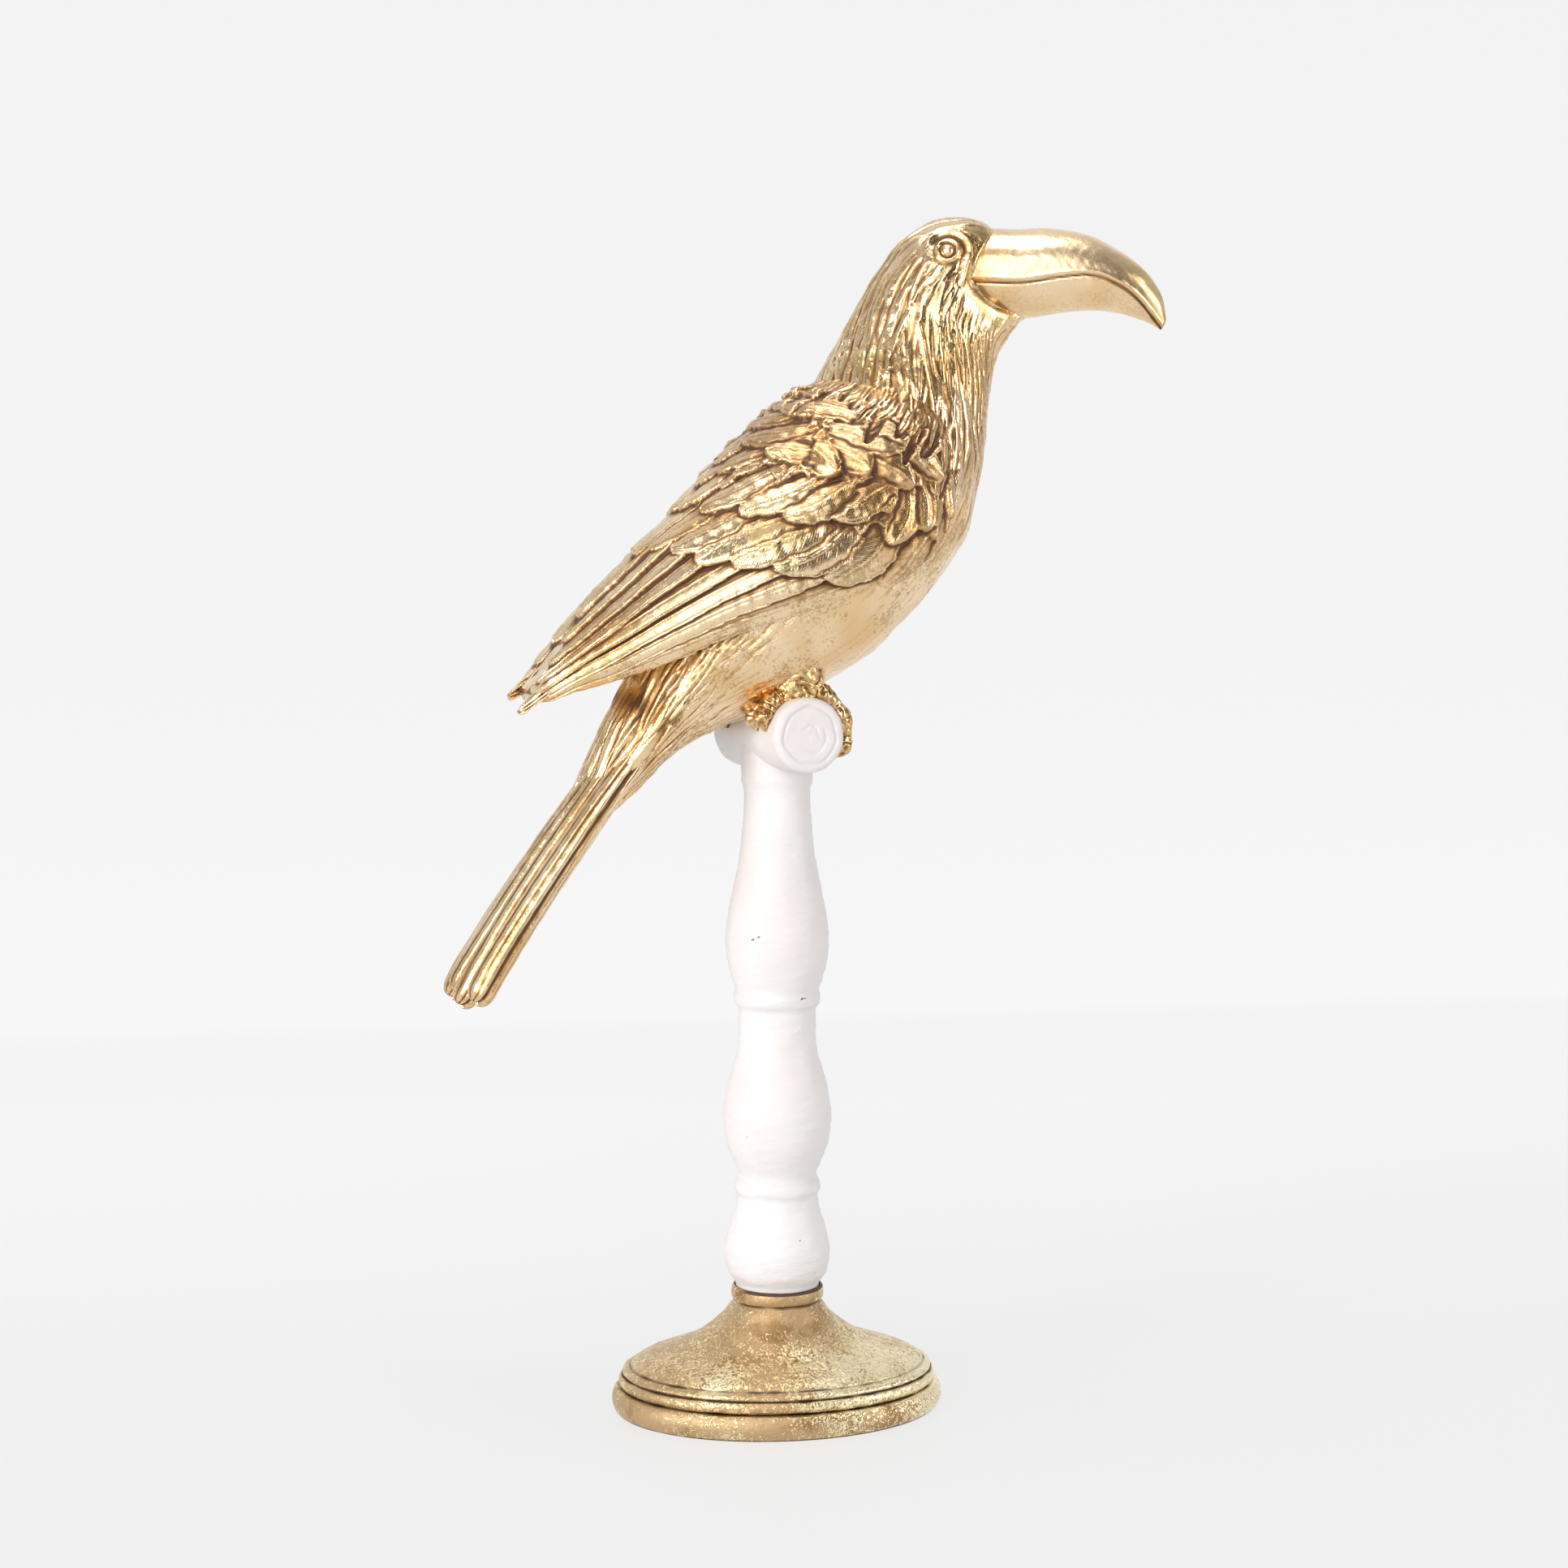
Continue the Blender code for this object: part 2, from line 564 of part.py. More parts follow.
def foot_profile():
    """Half outline of the oval foot: (inset from the oval's edge, height) for both rolls and the rim."""
    steps = []
    for turn in np.linspace(-ROLL_ARC, ROLL_ARC, 6):
        steps.append((ROLL_BULGE * (1 - math.cos(turn)) / (1 - math.cos(ROLL_ARC)),
                      ROLL_HEIGHT / 2 * (1 + math.sin(turn) / math.sin(ROLL_ARC))))
    steps.append((TIER_INSET + GROOVE_DEPTH, ROLL_HEIGHT + 0.0002))
    middle = ROLL_HEIGHT + TIER_HEIGHT * 0.36
    for turn in np.linspace(-BEAD_ARC, BEAD_ARC, 4):
        steps.append((TIER_INSET - 0.0012 + BEAD_BULGE * (1 - math.cos(turn)),
                      middle + TIER_HEIGHT * 0.34 * math.sin(turn)))
    top = ROLL_HEIGHT + TIER_HEIGHT
    rim = TIER_HEIGHT * 0.19
    for turn in np.linspace(-BEAD_ARC, 1.3, 4):
        steps.append((TIER_INSET + BEAD_BULGE * (1 - math.cos(turn)), top - rim + rim * math.sin(turn)))
    return steps


def oval_foot(paint):
    """Oval foot: two rolls, a shoulder that sweeps up into a round collar, and the column's socket."""
    steps = FOOT_SIDES
    angle = np.linspace(0, 2 * math.pi, steps, endpoint=False)
    collar = COLUMN_FOOT_RADIUS + GAP + COLLAR_WALL
    top = ROLL_HEIGHT + TIER_HEIGHT
    rings = []

    def oval(long, short, height):
        rings.append(np.column_stack([long * np.cos(angle), short * np.sin(angle), np.full(steps, height)]))

    for inset, height in foot_profile():
        oval(FOOT_LENGTH / 2 - inset, FOOT_DEPTH / 2 - inset, height)
    rim_inset = TIER_INSET + 0.0024
    sweep = ((0.00, 1.00), (0.06, 0.97), (0.13, 0.88), (0.20, 0.75), (0.28, 0.60), (0.36, 0.45),
             (0.46, 0.33), (0.60, 0.205), (0.75, 0.09), (0.90, 0.01), (1.00, -0.045))
    for height, share in spline(sweep, np.linspace(0.5, len(sweep) - 1, 11)):
        oval(collar + (FOOT_LENGTH / 2 - rim_inset - collar) * share,
             collar + (FOOT_DEPTH / 2 - rim_inset - collar) * share, top + FLARE_HEIGHT * height)
    rim = top + FLARE_HEIGHT
    for turn in np.linspace(-1.2, 1.4, 5):
        radius = collar - 0.0011 * (1 - math.cos(turn))
        oval(radius, radius, rim + COLLAR_HEIGHT * (0.5 + 0.5 * math.sin(turn)))
    socket = COLUMN_FOOT_RADIUS + GAP
    height = rim + COLLAR_HEIGHT
    oval(socket, socket, height)
    oval(socket, socket, height - SOCKET_DEPTH)
    points, faces = loft(rings)
    item = mesh_object("oval_base", points, faces, paint)
    return item, height - SOCKET_DEPTH + GAP


def apply_boolean(item, cutter, kind):
    step = item.modifiers.new(kind.lower(), "BOOLEAN")
    step.operation = kind
    step.solver = "EXACT"
    step.object = cutter
    cutter.hide_render = True
    cutter.display_type = "WIRE"


def smooth_shade(item, degrees):
    item.data.shade_smooth()
    item.data.set_sharp_from_angle(angle=math.radians(degrees))


def perch_column(bottom, paint):
    column = turned_form("perch_column", column_profile(bottom), COLUMN_SIDES, paint)
    height = bottom + COLUMN_HEIGHT + LOG_RADIUS * 0.30
    log = turned_form("log_form", log_profile(), LOG_SIDES, paint)
    lying = Matrix.Rotation(math.pi / 2, 4, "X")
    log.data.transform(Matrix.Translation((0, 0, height)) @ Matrix.Rotation(LOG_TURN, 4, "Z") @ lying)
    apply_boolean(column, log, "UNION")
    return column, height


def toucan(perch_height, paint):
    unit = BIRD_HEIGHT / DRAWN_HEIGHT
    place = Matrix.Translation((0, 0, perch_height))
    scale = Matrix.Scale(unit, 4)
    body = place @ Matrix.Rotation(BODY_TURN, 4, "Z") @ scale
    legs = place @ Matrix.Rotation(LOG_TURN, 4, "Z") @ scale
    bird = join_forms("toucan", ((bird_forms(unit), body), (leg_forms(unit), legs)), paint)
    fuse = bird.modifiers.new("fuse", "REMESH")
    fuse.mode = "VOXEL"
    fuse.voxel_size = FUSE_SIZE
    thin = bird.modifiers.new("thin", "DECIMATE")
    thin.ratio = FACET_SHARE
    thin.use_collapse_triangulate = True
    seat = turned_form("log_seat", [(LOG_RADIUS + GAP, -LOG_LENGTH), (LOG_RADIUS + GAP, LOG_LENGTH)], 64)
    lying = Matrix.Rotation(math.pi / 2, 4, "X")
    seat.data.transform(place @ Matrix.Rotation(LOG_TURN, 4, "Z") @ lying)
    apply_boolean(bird, seat, "DIFFERENCE")
    return bird


def build():
    clear_scene()
    gold = material("gilded resin", (0.72, 0.50, 0.20), 0.32, 0.85)
    white = material("white paint", (0.90, 0.88, 0.88), 0.55, 0.0)
    foot, column_bottom = oval_foot(gold)
    column, perch_height = perch_column(column_bottom, white)
    bird = toucan(perch_height, gold)
    for item in (foot, column, bird):
        smooth_shade(item, 35)


build()
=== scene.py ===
# %% [markdown]
# # A gilded toucan on a turned white column
# The ornament is three castings in painted resin: the bird, the column with its short perch log,
# and the oval foot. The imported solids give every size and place. This notebook lays the fine
# surface over them: feathers, scales, brush strokes, leaf gilding and worn paint.

# %% Frame and tools
import math

import bpy
import numpy as np
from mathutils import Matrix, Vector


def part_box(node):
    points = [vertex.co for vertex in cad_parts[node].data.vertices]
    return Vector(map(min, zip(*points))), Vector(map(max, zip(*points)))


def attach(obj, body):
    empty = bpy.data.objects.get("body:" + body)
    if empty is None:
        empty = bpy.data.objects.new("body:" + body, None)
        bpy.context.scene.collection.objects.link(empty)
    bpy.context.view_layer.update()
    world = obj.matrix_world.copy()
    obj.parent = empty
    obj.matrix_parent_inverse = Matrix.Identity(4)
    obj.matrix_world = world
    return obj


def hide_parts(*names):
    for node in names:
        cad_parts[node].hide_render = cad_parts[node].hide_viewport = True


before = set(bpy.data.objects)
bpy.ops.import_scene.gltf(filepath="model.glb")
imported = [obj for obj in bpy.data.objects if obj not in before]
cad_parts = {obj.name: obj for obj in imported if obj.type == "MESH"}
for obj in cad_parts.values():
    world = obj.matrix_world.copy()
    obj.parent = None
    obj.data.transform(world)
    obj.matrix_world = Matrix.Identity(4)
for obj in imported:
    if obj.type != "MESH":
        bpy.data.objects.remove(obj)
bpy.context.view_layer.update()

column_low, column_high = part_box("perch_column")
print("column from", round(column_low.z, 4), "to", round(column_high.z, 4), "m")

# %% [markdown]
# ## One drawn frame for the bird
# A sculptor keeps one side drawing of the bird and measures everything in it. We do the same: the
# bird is drawn in millimetres round the middle of its log (along, side, up), and one function
# carries the drawing to its place on the column. The numbers repeat the solids' own.

# %% Sizes and the way from drawing to statue
BIRD_HEIGHT = 0.2720
DRAWN_HEIGHT = 272.0
MILLIMETRE = BIRD_HEIGHT / DRAWN_HEIGHT
COLUMN_HEIGHT = 0.1950
LOG_RADIUS = 0.0131
LOG_LENGTH = 0.0575
LOG_TURN = math.radians(13)
BODY_TURN = math.radians(8)
HEAD_TURN = math.radians(-24)
HEAD_PIVOT = np.array([49.0, 0.0, 0.0])
PERCH_HEIGHT = column_low.z + COLUMN_HEIGHT + 0.30 * LOG_RADIUS


def xyz(x, y, z):
    """Grid of points from three coordinates, each spread over the directions it lacks."""
    return np.stack(np.broadcast_arrays(x, y, z), axis=-1)


def turned(points, angle):
    """Points turned about the along axis."""
    along, side, up = np.moveaxis(points, -1, 0)
    return xyz(along * np.cos(angle) - side * np.sin(angle), along * np.sin(angle) + side * np.cos(angle), up)


def head_turned(points, share):
    """Drawn points turned about the neck by a share of the head's turn."""
    return turned(points - HEAD_PIVOT, HEAD_TURN * share) + HEAD_PIVOT


def placed(points, turn=BODY_TURN, unit=MILLIMETRE):
    """From a drawing round the log to metres in the statue's frame."""
    return turned(points, turn) * unit + np.array([0.0, 0.0, PERCH_HEIGHT])


print("perch height", round(PERCH_HEIGHT, 4), "m")

# %% [markdown]
# ## Smooth curves through a few sections
# Each form is drawn by a handful of cross sections. A Catmull-Rom curve runs through all of them,
# so a few rows of numbers give a smooth swelling shape at any fineness.

# %% Splines and evenly spaced stations
def spline(rows, where):
    """Smooth curve through evenly numbered rows, read at fractional row numbers."""
    rows = np.asarray(rows, float)
    padded = np.vstack([2 * rows[0] - rows[1], rows, 2 * rows[-1] - rows[-2]])
    where = np.clip(where, 0, len(rows) - 1)
    first = np.minimum(where.astype(int), len(rows) - 2)
    t = (where - first)[:, None]
    p0, p1, p2, p3 = (padded[first + k] for k in range(4))
    return 0.5 * (2 * p1 + (p2 - p0) * t + (2 * p0 - 5 * p1 + 4 * p2 - p3) * t**2
                  + (3 * p1 - p0 - 3 * p2 + p3) * t**3)


def even_stations(table, start, end, spacing):
    """Station numbers whose upper or lower line moves on by the spacing at each step."""
    dense = np.linspace(start, end, 900)
    moves = np.diff(spline(table, dense), axis=0)
    longer = np.maximum(np.linalg.norm(moves[:, 0:2], axis=1), np.linalg.norm(moves[:, 2:4], axis=1))
    way = np.r_[0.0, np.cumsum(longer)]
    return np.interp(np.linspace(0, way[-1], int(way[-1] / spacing) + 2), way, dense)


def smoothstep(low, high, value):
    t = np.clip((value - low) / (high - low), 0, 1)
    return t * t * (3 - 2 * t)


def bell(value, width):
    """Rounded bump that is one at zero and fades over the width."""
    return np.exp(-(value / width) ** 2)


def turns(count, start=0.0):
    """Evenly spaced angles, once round."""
    return np.linspace(start, start + math.tau, count, endpoint=False)


def across_ring(first, last, level):
    """Place between two opposite points of a ring, level 1 at the first and -1 at the last."""
    return (first + last) / 2 + (first - last) / 2 * level


halfway = spline(((0,), (1,), (0,)), np.array([0.5]))
print("between 0 and 1 a smooth curve through 0, 1 and 0 passes", float(halfway[0, 0]))

# %% [markdown]
# ## Meshes from grids
# Feathers and scales are far too many to model one by one. Instead every form is a grid of points,
# and a height for each point pushes it out along its normal. The same heights tell the paint where
# the hollows are, as two values per point: how deep it lies, and how its fine hairs run.

# %% Grid helpers
WAVES = 7


def wobble(points, size, seed):
    """Smooth noise about zero, for hand-made unevenness, from a few crossed waves."""
    dice = np.random.default_rng(seed)
    total = np.zeros(points.shape[:-1])
    for _ in range(WAVES):
        way = dice.normal(size=3)
        way /= np.linalg.norm(way) * size / dice.uniform(3.5, 8)
        total += np.sin(points @ way + dice.uniform(0, math.tau))
    return total / math.sqrt(WAVES)


def unevenness(points, seed, *waves):
    """Several wobbles laid over each other, each with its size and its depth."""
    return sum(depth * wobble(points, size, seed + k) for k, (size, depth) in enumerate(waves))


def soften(field, passes, closed=True):
    """Blurs a grid of heights a little, each pass over its nearest neighbours."""
    for _ in range(passes):
        rows = np.pad(field, ((1, 1), (0, 0)), mode="edge")
        field = (rows[:-2] + 2 * rows[1:-1] + rows[2:]) / 4
        columns = np.pad(field, ((0, 0), (1, 1)), mode="wrap" if closed else "edge")
        field = (columns[:, :-2] + 2 * columns[:, 1:-1] + columns[:, 2:]) / 4
    return field


def grid_normals(points, closed=True):
    """Outward normals of a grid, and whether its winding has to be turned round."""
    along = np.gradient(points, axis=0)
    across = np.gradient(points, axis=1)
    if closed:
        across = (np.roll(points, -1, axis=1) - np.roll(points, 1, axis=1)) / 2
    normal = np.cross(along, across)
    normal /= np.maximum(np.linalg.norm(normal, axis=-1, keepdims=True), 1e-12)
    outward = np.sum(normal * (points - points.mean(axis=1, keepdims=True))) > 0
    return (normal if outward else -normal), outward


def raised(points, height, closed=True):
    return points + grid_normals(points, closed)[0] * height[..., None]


def grid_piece(name, points, paint, hollow=0.0, grain=0.0, closed=True, keep=None, normals=None):
    """Mesh object from a grid of points in metres, with its two painting values."""
    made_normals, outward = grid_normals(points, closed)
    normals = made_normals if normals is None else normals
    shape = points.shape[:2]
    index = np.arange(shape[0] * shape[1]).reshape(shape)
    left = index if closed else index[:, :-1]
    right = np.roll(index, -1, axis=1) if closed else index[:, 1:]
    quads = np.stack([left[:-1], right[:-1], right[1:], left[1:]], axis=-1)
    if keep is not None:
        quads = quads[keep[:-1]]
    quads = quads.reshape(-1, 4)[:, ::-1 if outward else 1]
    used, quads = np.unique(quads, return_inverse=True)
    quads = quads.reshape(-1, 4)
    mesh = bpy.data.meshes.new(name)
    mesh.from_pydata(points.reshape(-1, 3)[used].tolist(), [], quads.tolist(), shade_flat=False)
    for label, field in (("hollow", hollow), ("grain", grain)):
        values = np.broadcast_to(field, shape).reshape(-1)[used].astype(np.float32)
        mesh.attributes.new(label, "FLOAT", "POINT").data.foreach_set("value", values)
    mesh.normals_split_custom_set_from_vertices(normals.reshape(-1, 3)[used].tolist())
    mesh.materials.append(paint)
    piece = bpy.data.objects.new(name, mesh)
    bpy.context.collection.objects.link(piece)
    print(f"{name}: {2 * len(quads)} triangles")
    return piece


def hollows(height, narrow=5, depth=0.30, closed=True):
    """How deep each place lies under its surroundings, from 0 to 1, heights in millimetres."""
    cracks = (soften(height, narrow, closed) - height) / depth
    troughs = (soften(height, narrow * 9, closed) - height) / (depth * 3)
    return np.clip(0.75 * np.clip(cracks, 0, 1) + 0.7 * np.clip(troughs, 0, 1), 0, 1)


def dress(piece, node="toucan"):
    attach(piece, "root")
    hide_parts(node)


print("each wobble crosses", WAVES, "waves")

# %% [markdown]
# ## Shader maths as plain expressions
# A material is a small web of nodes. Written out by hand it takes pages, so one class wraps a
# socket and lets Python's own operators add the Math nodes: `1 - mask * 0.5` reads as it works.
# Everything that isn't plain maths comes from one method that takes a node's type, its settings
# and what goes into its sockets.

# %% Socket wrapper and recipe
class Flow:
    """A shader socket that can be added, subtracted and multiplied."""

    def __init__(self, recipe, socket):
        self.recipe, self.socket = recipe, socket

    def math(self, operation, *values):
        return self.recipe.node("ShaderNodeMath", {"operation": operation}, dict(enumerate(values)))

    def __add__(self, other):
        return self.math("ADD", self, other)

    def __sub__(self, other):
        return self.math("SUBTRACT", self, other)

    def __rsub__(self, other):
        return self.math("SUBTRACT", other, self)

    def __mul__(self, other):
        return self.math("MULTIPLY", self, other)

    __radd__ = __add__
    __rmul__ = __mul__

    def step(self, low, high):
        """Smooth rise from 0 to 1 between two values."""
        return self.recipe.node("ShaderNodeMapRange", {"interpolation_type": "SMOOTHSTEP"},
                                {"Value": self, "From Min": low, "From Max": high})


class Recipe:
    """The node tree of a material or of the world, and the methods that grow it."""

    def __init__(self, name, kind="materials", shader="Principled BSDF", place="Object"):
        self.owner = getattr(bpy.data, kind).new(name)
        self.owner.use_nodes = True
        self.tree = self.owner.node_tree
        self.shader = self.tree.nodes[shader]
        self.place = self.node("ShaderNodeTexCoord", out=place)

    def plug(self, socket, value):
        if isinstance(value, Flow):
            self.tree.links.new(value.socket, socket)
        elif socket.type == "RGBA":
            socket.default_value = (*value, 1.0)
        else:
            socket.default_value = value

    def node(self, kind, settings=None, inputs=None, out=0):
        made = self.tree.nodes.new(kind)
        for key, value in (settings or {}).items():
            setattr(made, key, value)
        for key, value in (inputs or {}).items():
            self.plug(made.inputs[key], value)
        return Flow(self, made.outputs[out])

    def mix(self, share, first, second):
        """Colour between two colours, 6 and 7 being the Mix node's colour sockets."""
        return self.node("ShaderNodeMix", {"data_type": "RGBA"}, {0: share, 6: first, 7: second}, out=2)

    def noise(self, size, detail=3, roughness=0.55, stretch=None):
        """Noise whose blotches are about that many metres across."""
        place = self.place
        if stretch:
            place = self.node("ShaderNodeMapping", None, {"Vector": self.place, "Scale": stretch})
        return self.node("ShaderNodeTexNoise", None, {"Vector": place, "Scale": 0.6 / size,
                                                      "Detail": detail, "Roughness": roughness})

    def value(self, label):
        return self.node("ShaderNodeAttribute", {"attribute_name": label}, out="Fac")

    def bump(self, height, distance, strength):
        return self.node("ShaderNodeBump", None, {"Height": height, "Distance": distance,
                                                  "Strength": strength})

    def finish(self, **sockets):
        for key, value in sockets.items():
            self.plug(self.shader.inputs[key.replace("_", " ")], value)
        return self.owner


# %% [markdown]
# ## Leaf gilding
# The bird is cast in resin, sealed with a brown size and gilded with imitation leaf, then rubbed.
# Leaf stays bright on the high places and thin in the hollows, where the brown shows. The same brown
# is also painted in as shade in a few places, and as dark reflection near the bill's tip. A metal keeps
# its colour in what it mirrors, so nearly all of the look is roughness, tint and fine grain.

# %% Gilding of the bird
LEAF = (0.80, 0.53, 0.255)
LEAF_PALE = (0.92, 0.71, 0.455)
LEAF_OLIVE = (0.44, 0.31, 0.10)
WASH_AND_SHADE_BROWN = (0.42, 0.215, 0.065)
SIZE_BROWN = (0.085, 0.032, 0.011)
HAIR_PITCH = 1.15


def bird_gilding(name, hair=1.0, smooth=0.0):
    """Leaf over brown size. Hair is how strong the fine lines are, smooth how polished it is."""
    r = Recipe(name)
    hollow = r.value("hollow")
    grain = r.value("grain")
    broad = r.noise(0.018, 2)
    patches = r.noise(0.012, 3, 0.6)
    fine = r.noise(0.0014, 4, 0.65)
    flecks = r.noise(0.0007, 3, 0.7)
    ragged = hollow + (fine - 0.5) * 0.30
    # Brown wash in the hollows; the same brown also carries the painted shade and painted dark reflection
    # added to the hollow value
    wash_and_shade = ragged.step(0.02, 0.36) * (0.92 - 0.35 * smooth)
    bare = ragged.step(0.24, 0.75) * 0.95
    speckled = (flecks + (patches - 0.5) * 0.9).step(0.55, 0.62) * (0.60 - 0.38 * smooth)
    tint = r.mix(broad.step(0.30, 0.62), LEAF, LEAF_PALE)
    tint = r.mix(speckled, tint, LEAF_OLIVE)
    tint = r.mix(wash_and_shade, tint, WASH_AND_SHADE_BROWN)
    colour = r.mix(bare, tint, SIZE_BROWN)
    rough = 0.16 + 0.12 * smooth + (fine - 0.5) * 0.20 + speckled * 0.18 + hollow * 0.28 + broad * 0.08
    hairs = r.node("ShaderNodeMath", {"operation": "SINE"}, {0: grain * (math.tau / HAIR_PITCH)})
    relief = hairs * (0.10 * hair) + fine * (1 - 0.5 * smooth) + flecks * 0.35
    return r.finish(Base_Color=colour, Metallic=1 - bare * 0.5, Roughness=rough,
                    Coat_Weight=0.22, Coat_Roughness=0.10, Normal=r.bump(relief, 0.00016, 0.75))


plumage_gold = bird_gilding("plumage gilding")
bill_gold = bird_gilding("bill gilding", hair=0, smooth=1)
scale_gold = bird_gilding("foot scale gilding", hair=0.3)
print("gilding recipes:", plumage_gold.name, bill_gold.name, scale_gold.name)


# %% Gilded forms
def closed_tip(points):
    """Grid with two more rows, drawn together to close its last end."""
    last = points[-1:]
    middle = last.mean(axis=1, keepdims=True)
    beyond = middle + 0.35 * (middle - points[-4:-3].mean(axis=1, keepdims=True))
    return np.concatenate([points, (last + middle) / 2 + (beyond - middle) * 0.8, beyond + 0 * last])


def to_tip(field, mode="edge"):
    """Field of a form with the two rows that close its tip."""
    return np.pad(field, ((0, 2), (0, 0)), mode=mode)


def bird_piece(name, points, height, paint=plumage_gold, hollow=None, grain=0.0, turn=BODY_TURN):
    """One round form of the bird, raised by its heights, put in its place and dressed."""
    hollow = hollows(height) if hollow is None else hollow
    dress(grid_piece(name, placed(raised(points, height), turn), paint, hollow, grain))


print("closing a tip adds", len(to_tip(np.zeros((1, 1)))) - 1, "rows")

# %% [markdown]
# ## Painting feathers onto a grid
# Overlapping feathers are laid the way a carver thinks of them, from the tail forwards: each new
# one covers the roots of the last. On a grid this is a painter's algorithm. Every feather has a
# root, a tip and a half width, and writes its own height wherever it lies. Its section has a
# raised rim, a shaft and slanting barbs, or, for the short plumage of neck and belly, a plain
# pointed lock with a few grooves.

# %% Chart of a surface
class Chart:
    """Rows are stations of a form, columns are shares round or across it, heights millimetres."""

    def __init__(self, points, stations, shares, closed=True):
        self.stations, self.shares, self.closed = stations, shares, closed
        self.step = shares[1] - shares[0]
        self.per_station = np.linalg.norm(np.gradient(points, stations, axis=0), axis=-1)
        self.per_share = np.linalg.norm(np.gradient(points, shares, axis=1), axis=-1)
        self.way = np.cumsum(self.per_station * np.gradient(stations)[:, None], axis=0)
        self.height = np.zeros(points.shape[:2])
        self.grain = np.zeros(points.shape[:2])

    def column(self, share):
        return (share - self.shares[0]) / self.step

    def nearest(self, share):
        """Number of the column under a share."""
        column, count = int(self.column(share)), len(self.shares)
        return column % count if self.closed else min(max(column, 0), count - 1)

    def scales(self, station, share):
        """Millimetres per station and per share at a place."""
        row = min(np.searchsorted(self.stations, station), len(self.stations) - 1)
        place = row, self.nearest(share)
        return max(self.per_station[place], 0.5), max(self.per_share[place], 2.0)

    def moved(self, station, share, distance):
        """Station that lies some millimetres further along the form."""
        way = self.way[:, self.nearest(share)]
        return float(np.interp(np.interp(station, self.stations, way) + distance, way, self.stations))

    def lay(self, root, tip, half, section, bend=0.0):
        """Paints one feather from its root to its tip, each a (station, share)."""
        per_station, per_share = self.scales((root[0] + tip[0]) / 2, (root[1] + tip[1]) / 2)
        run = (tip[0] - root[0]) * per_station
        rise = (tip[1] - root[1]) * per_share
        length = math.hypot(run, rise)
        spare = half * 1.3 + abs(bend) * length / 4
        first, last = np.searchsorted(self.stations, (min(root[0], tip[0]) - spare / per_station,
                                                      max(root[0], tip[0]) + spare / per_station))
        low = math.floor(self.column(min(root[1], tip[1]) - spare / per_share))
        high = math.ceil(self.column(max(root[1], tip[1]) + spare / per_share)) + 1
        if not self.closed:
            low, high = max(low, 0), min(high, len(self.shares))
        if first >= last or low >= high:
            return
        columns = np.arange(low, high)
        x = ((self.stations[first:last] - root[0]) * per_station)[:, None]
        y = ((self.shares[0] + columns * self.step - root[1]) * per_share)[None, :]
        a = (x * run + y * rise) / length**2
        b = (y * run - x * rise) / length / half * (-1 if run < 0 else 1)
        b = b - bend * length * a * (1 - a) / half
        window = np.ix_(np.arange(first, last), columns % len(self.shares))
        self.write(window, *section(a, b, length, half))

    def write(self, window, inside, height, grain):
        self.height[window] = np.where(inside, height, self.height[window])
        self.grain[window] = np.where(inside, grain, self.grain[window])


# %% Sections of a feather and a lock
def vane_section(lift, turn, tip_from, root_wide, rim, barb, dome, lean, pitch, shingle):
    """Section of a flight feather or covert, heights in millimetres."""
    def section(a, b, length, half):
        b = b + 0.09 * np.sin(a * 6 + turn * 9)
        ragged = 1 + 0.035 * np.sin(a * 31 + turn * 20) + 0.03 * np.sin(a * 17 * np.sign(b) + turn * 40)
        blunt = np.clip((a - tip_from) / (1 - tip_from), 0, 1)
        wide = np.clip(root_wide + (1 - root_wide) * a / 0.35, 0, 1) * np.sqrt(1 - blunt**2.0) * ragged
        edge = np.abs(b) / np.maximum(wide, 1e-3)
        inside = (a > 0) & (a < 1) & (edge < 1)
        shore = (1 - edge) * wide * half
        slant = a * length - np.abs(b) * half * lean
        cut = np.sin(slant * (math.tau / pitch) + turn * 6 + 2.2 * np.sin(a * 9 + turn * 5 + b * 2))
        strength = 0.5 + 0.5 * np.sin(slant * 0.8 + turn * 30 + 4 * b)
        height = lift * (0.08 + 0.92 * a) + dome * (1 - np.clip(edge, 0, 1) ** 2) + shingle * b
        height = height + rim * bell(shore, 0.5) - 0.5 * rim * bell(shore - 1.15, 0.5)
        height = height + 0.26 * bell(b * half, 0.42) - 0.14 * bell(np.abs(b) * half - 0.95, 0.4)
        height = height + barb * cut * strength * smoothstep(0.3, 1.3, shore) * smoothstep(0.02, 0.2, a)
        return inside, height, slant
    return section


def lock_section(lift, grooves, turn):
    """Section of a long pointed lock of plumage, a ridge with a few scratched grooves."""
    def section(a, b, length, half):
        b = b + 0.16 * np.sin(a * 5 + turn * 9)
        wide = np.clip(0.45 + 1.6 * a, 0, 1) * np.sqrt(1 - np.clip((a - 0.45) / 0.55, 0, 1)**1.35)
        edge = np.abs(b) / np.maximum(wide, 1e-3)
        inside = (a > 0) & (a < 1) & (edge < 1)
        height = lift * smoothstep(-0.1, 0.45, a) * (1 - 0.25 * a) * (1 - 0.75 * edge**1.6)
        height = height - 0.1 * lift * (1 + np.cos((b + turn) * math.pi * grooves))
        return inside, height, b * half + turn
    return section


print("feather sections ready")

# %% [markdown]
# ## Body, neck and head
# One loft runs from the tail's root to the bill. Its rings are drawn by their back and belly
# points and a half width, and near the head they take a share of its turn. Locks of plumage are
# laid over it from the tail forwards: long and loose on the rump, fine on the breast, deep and
# lively on the neck, small on the crown and cheeks.

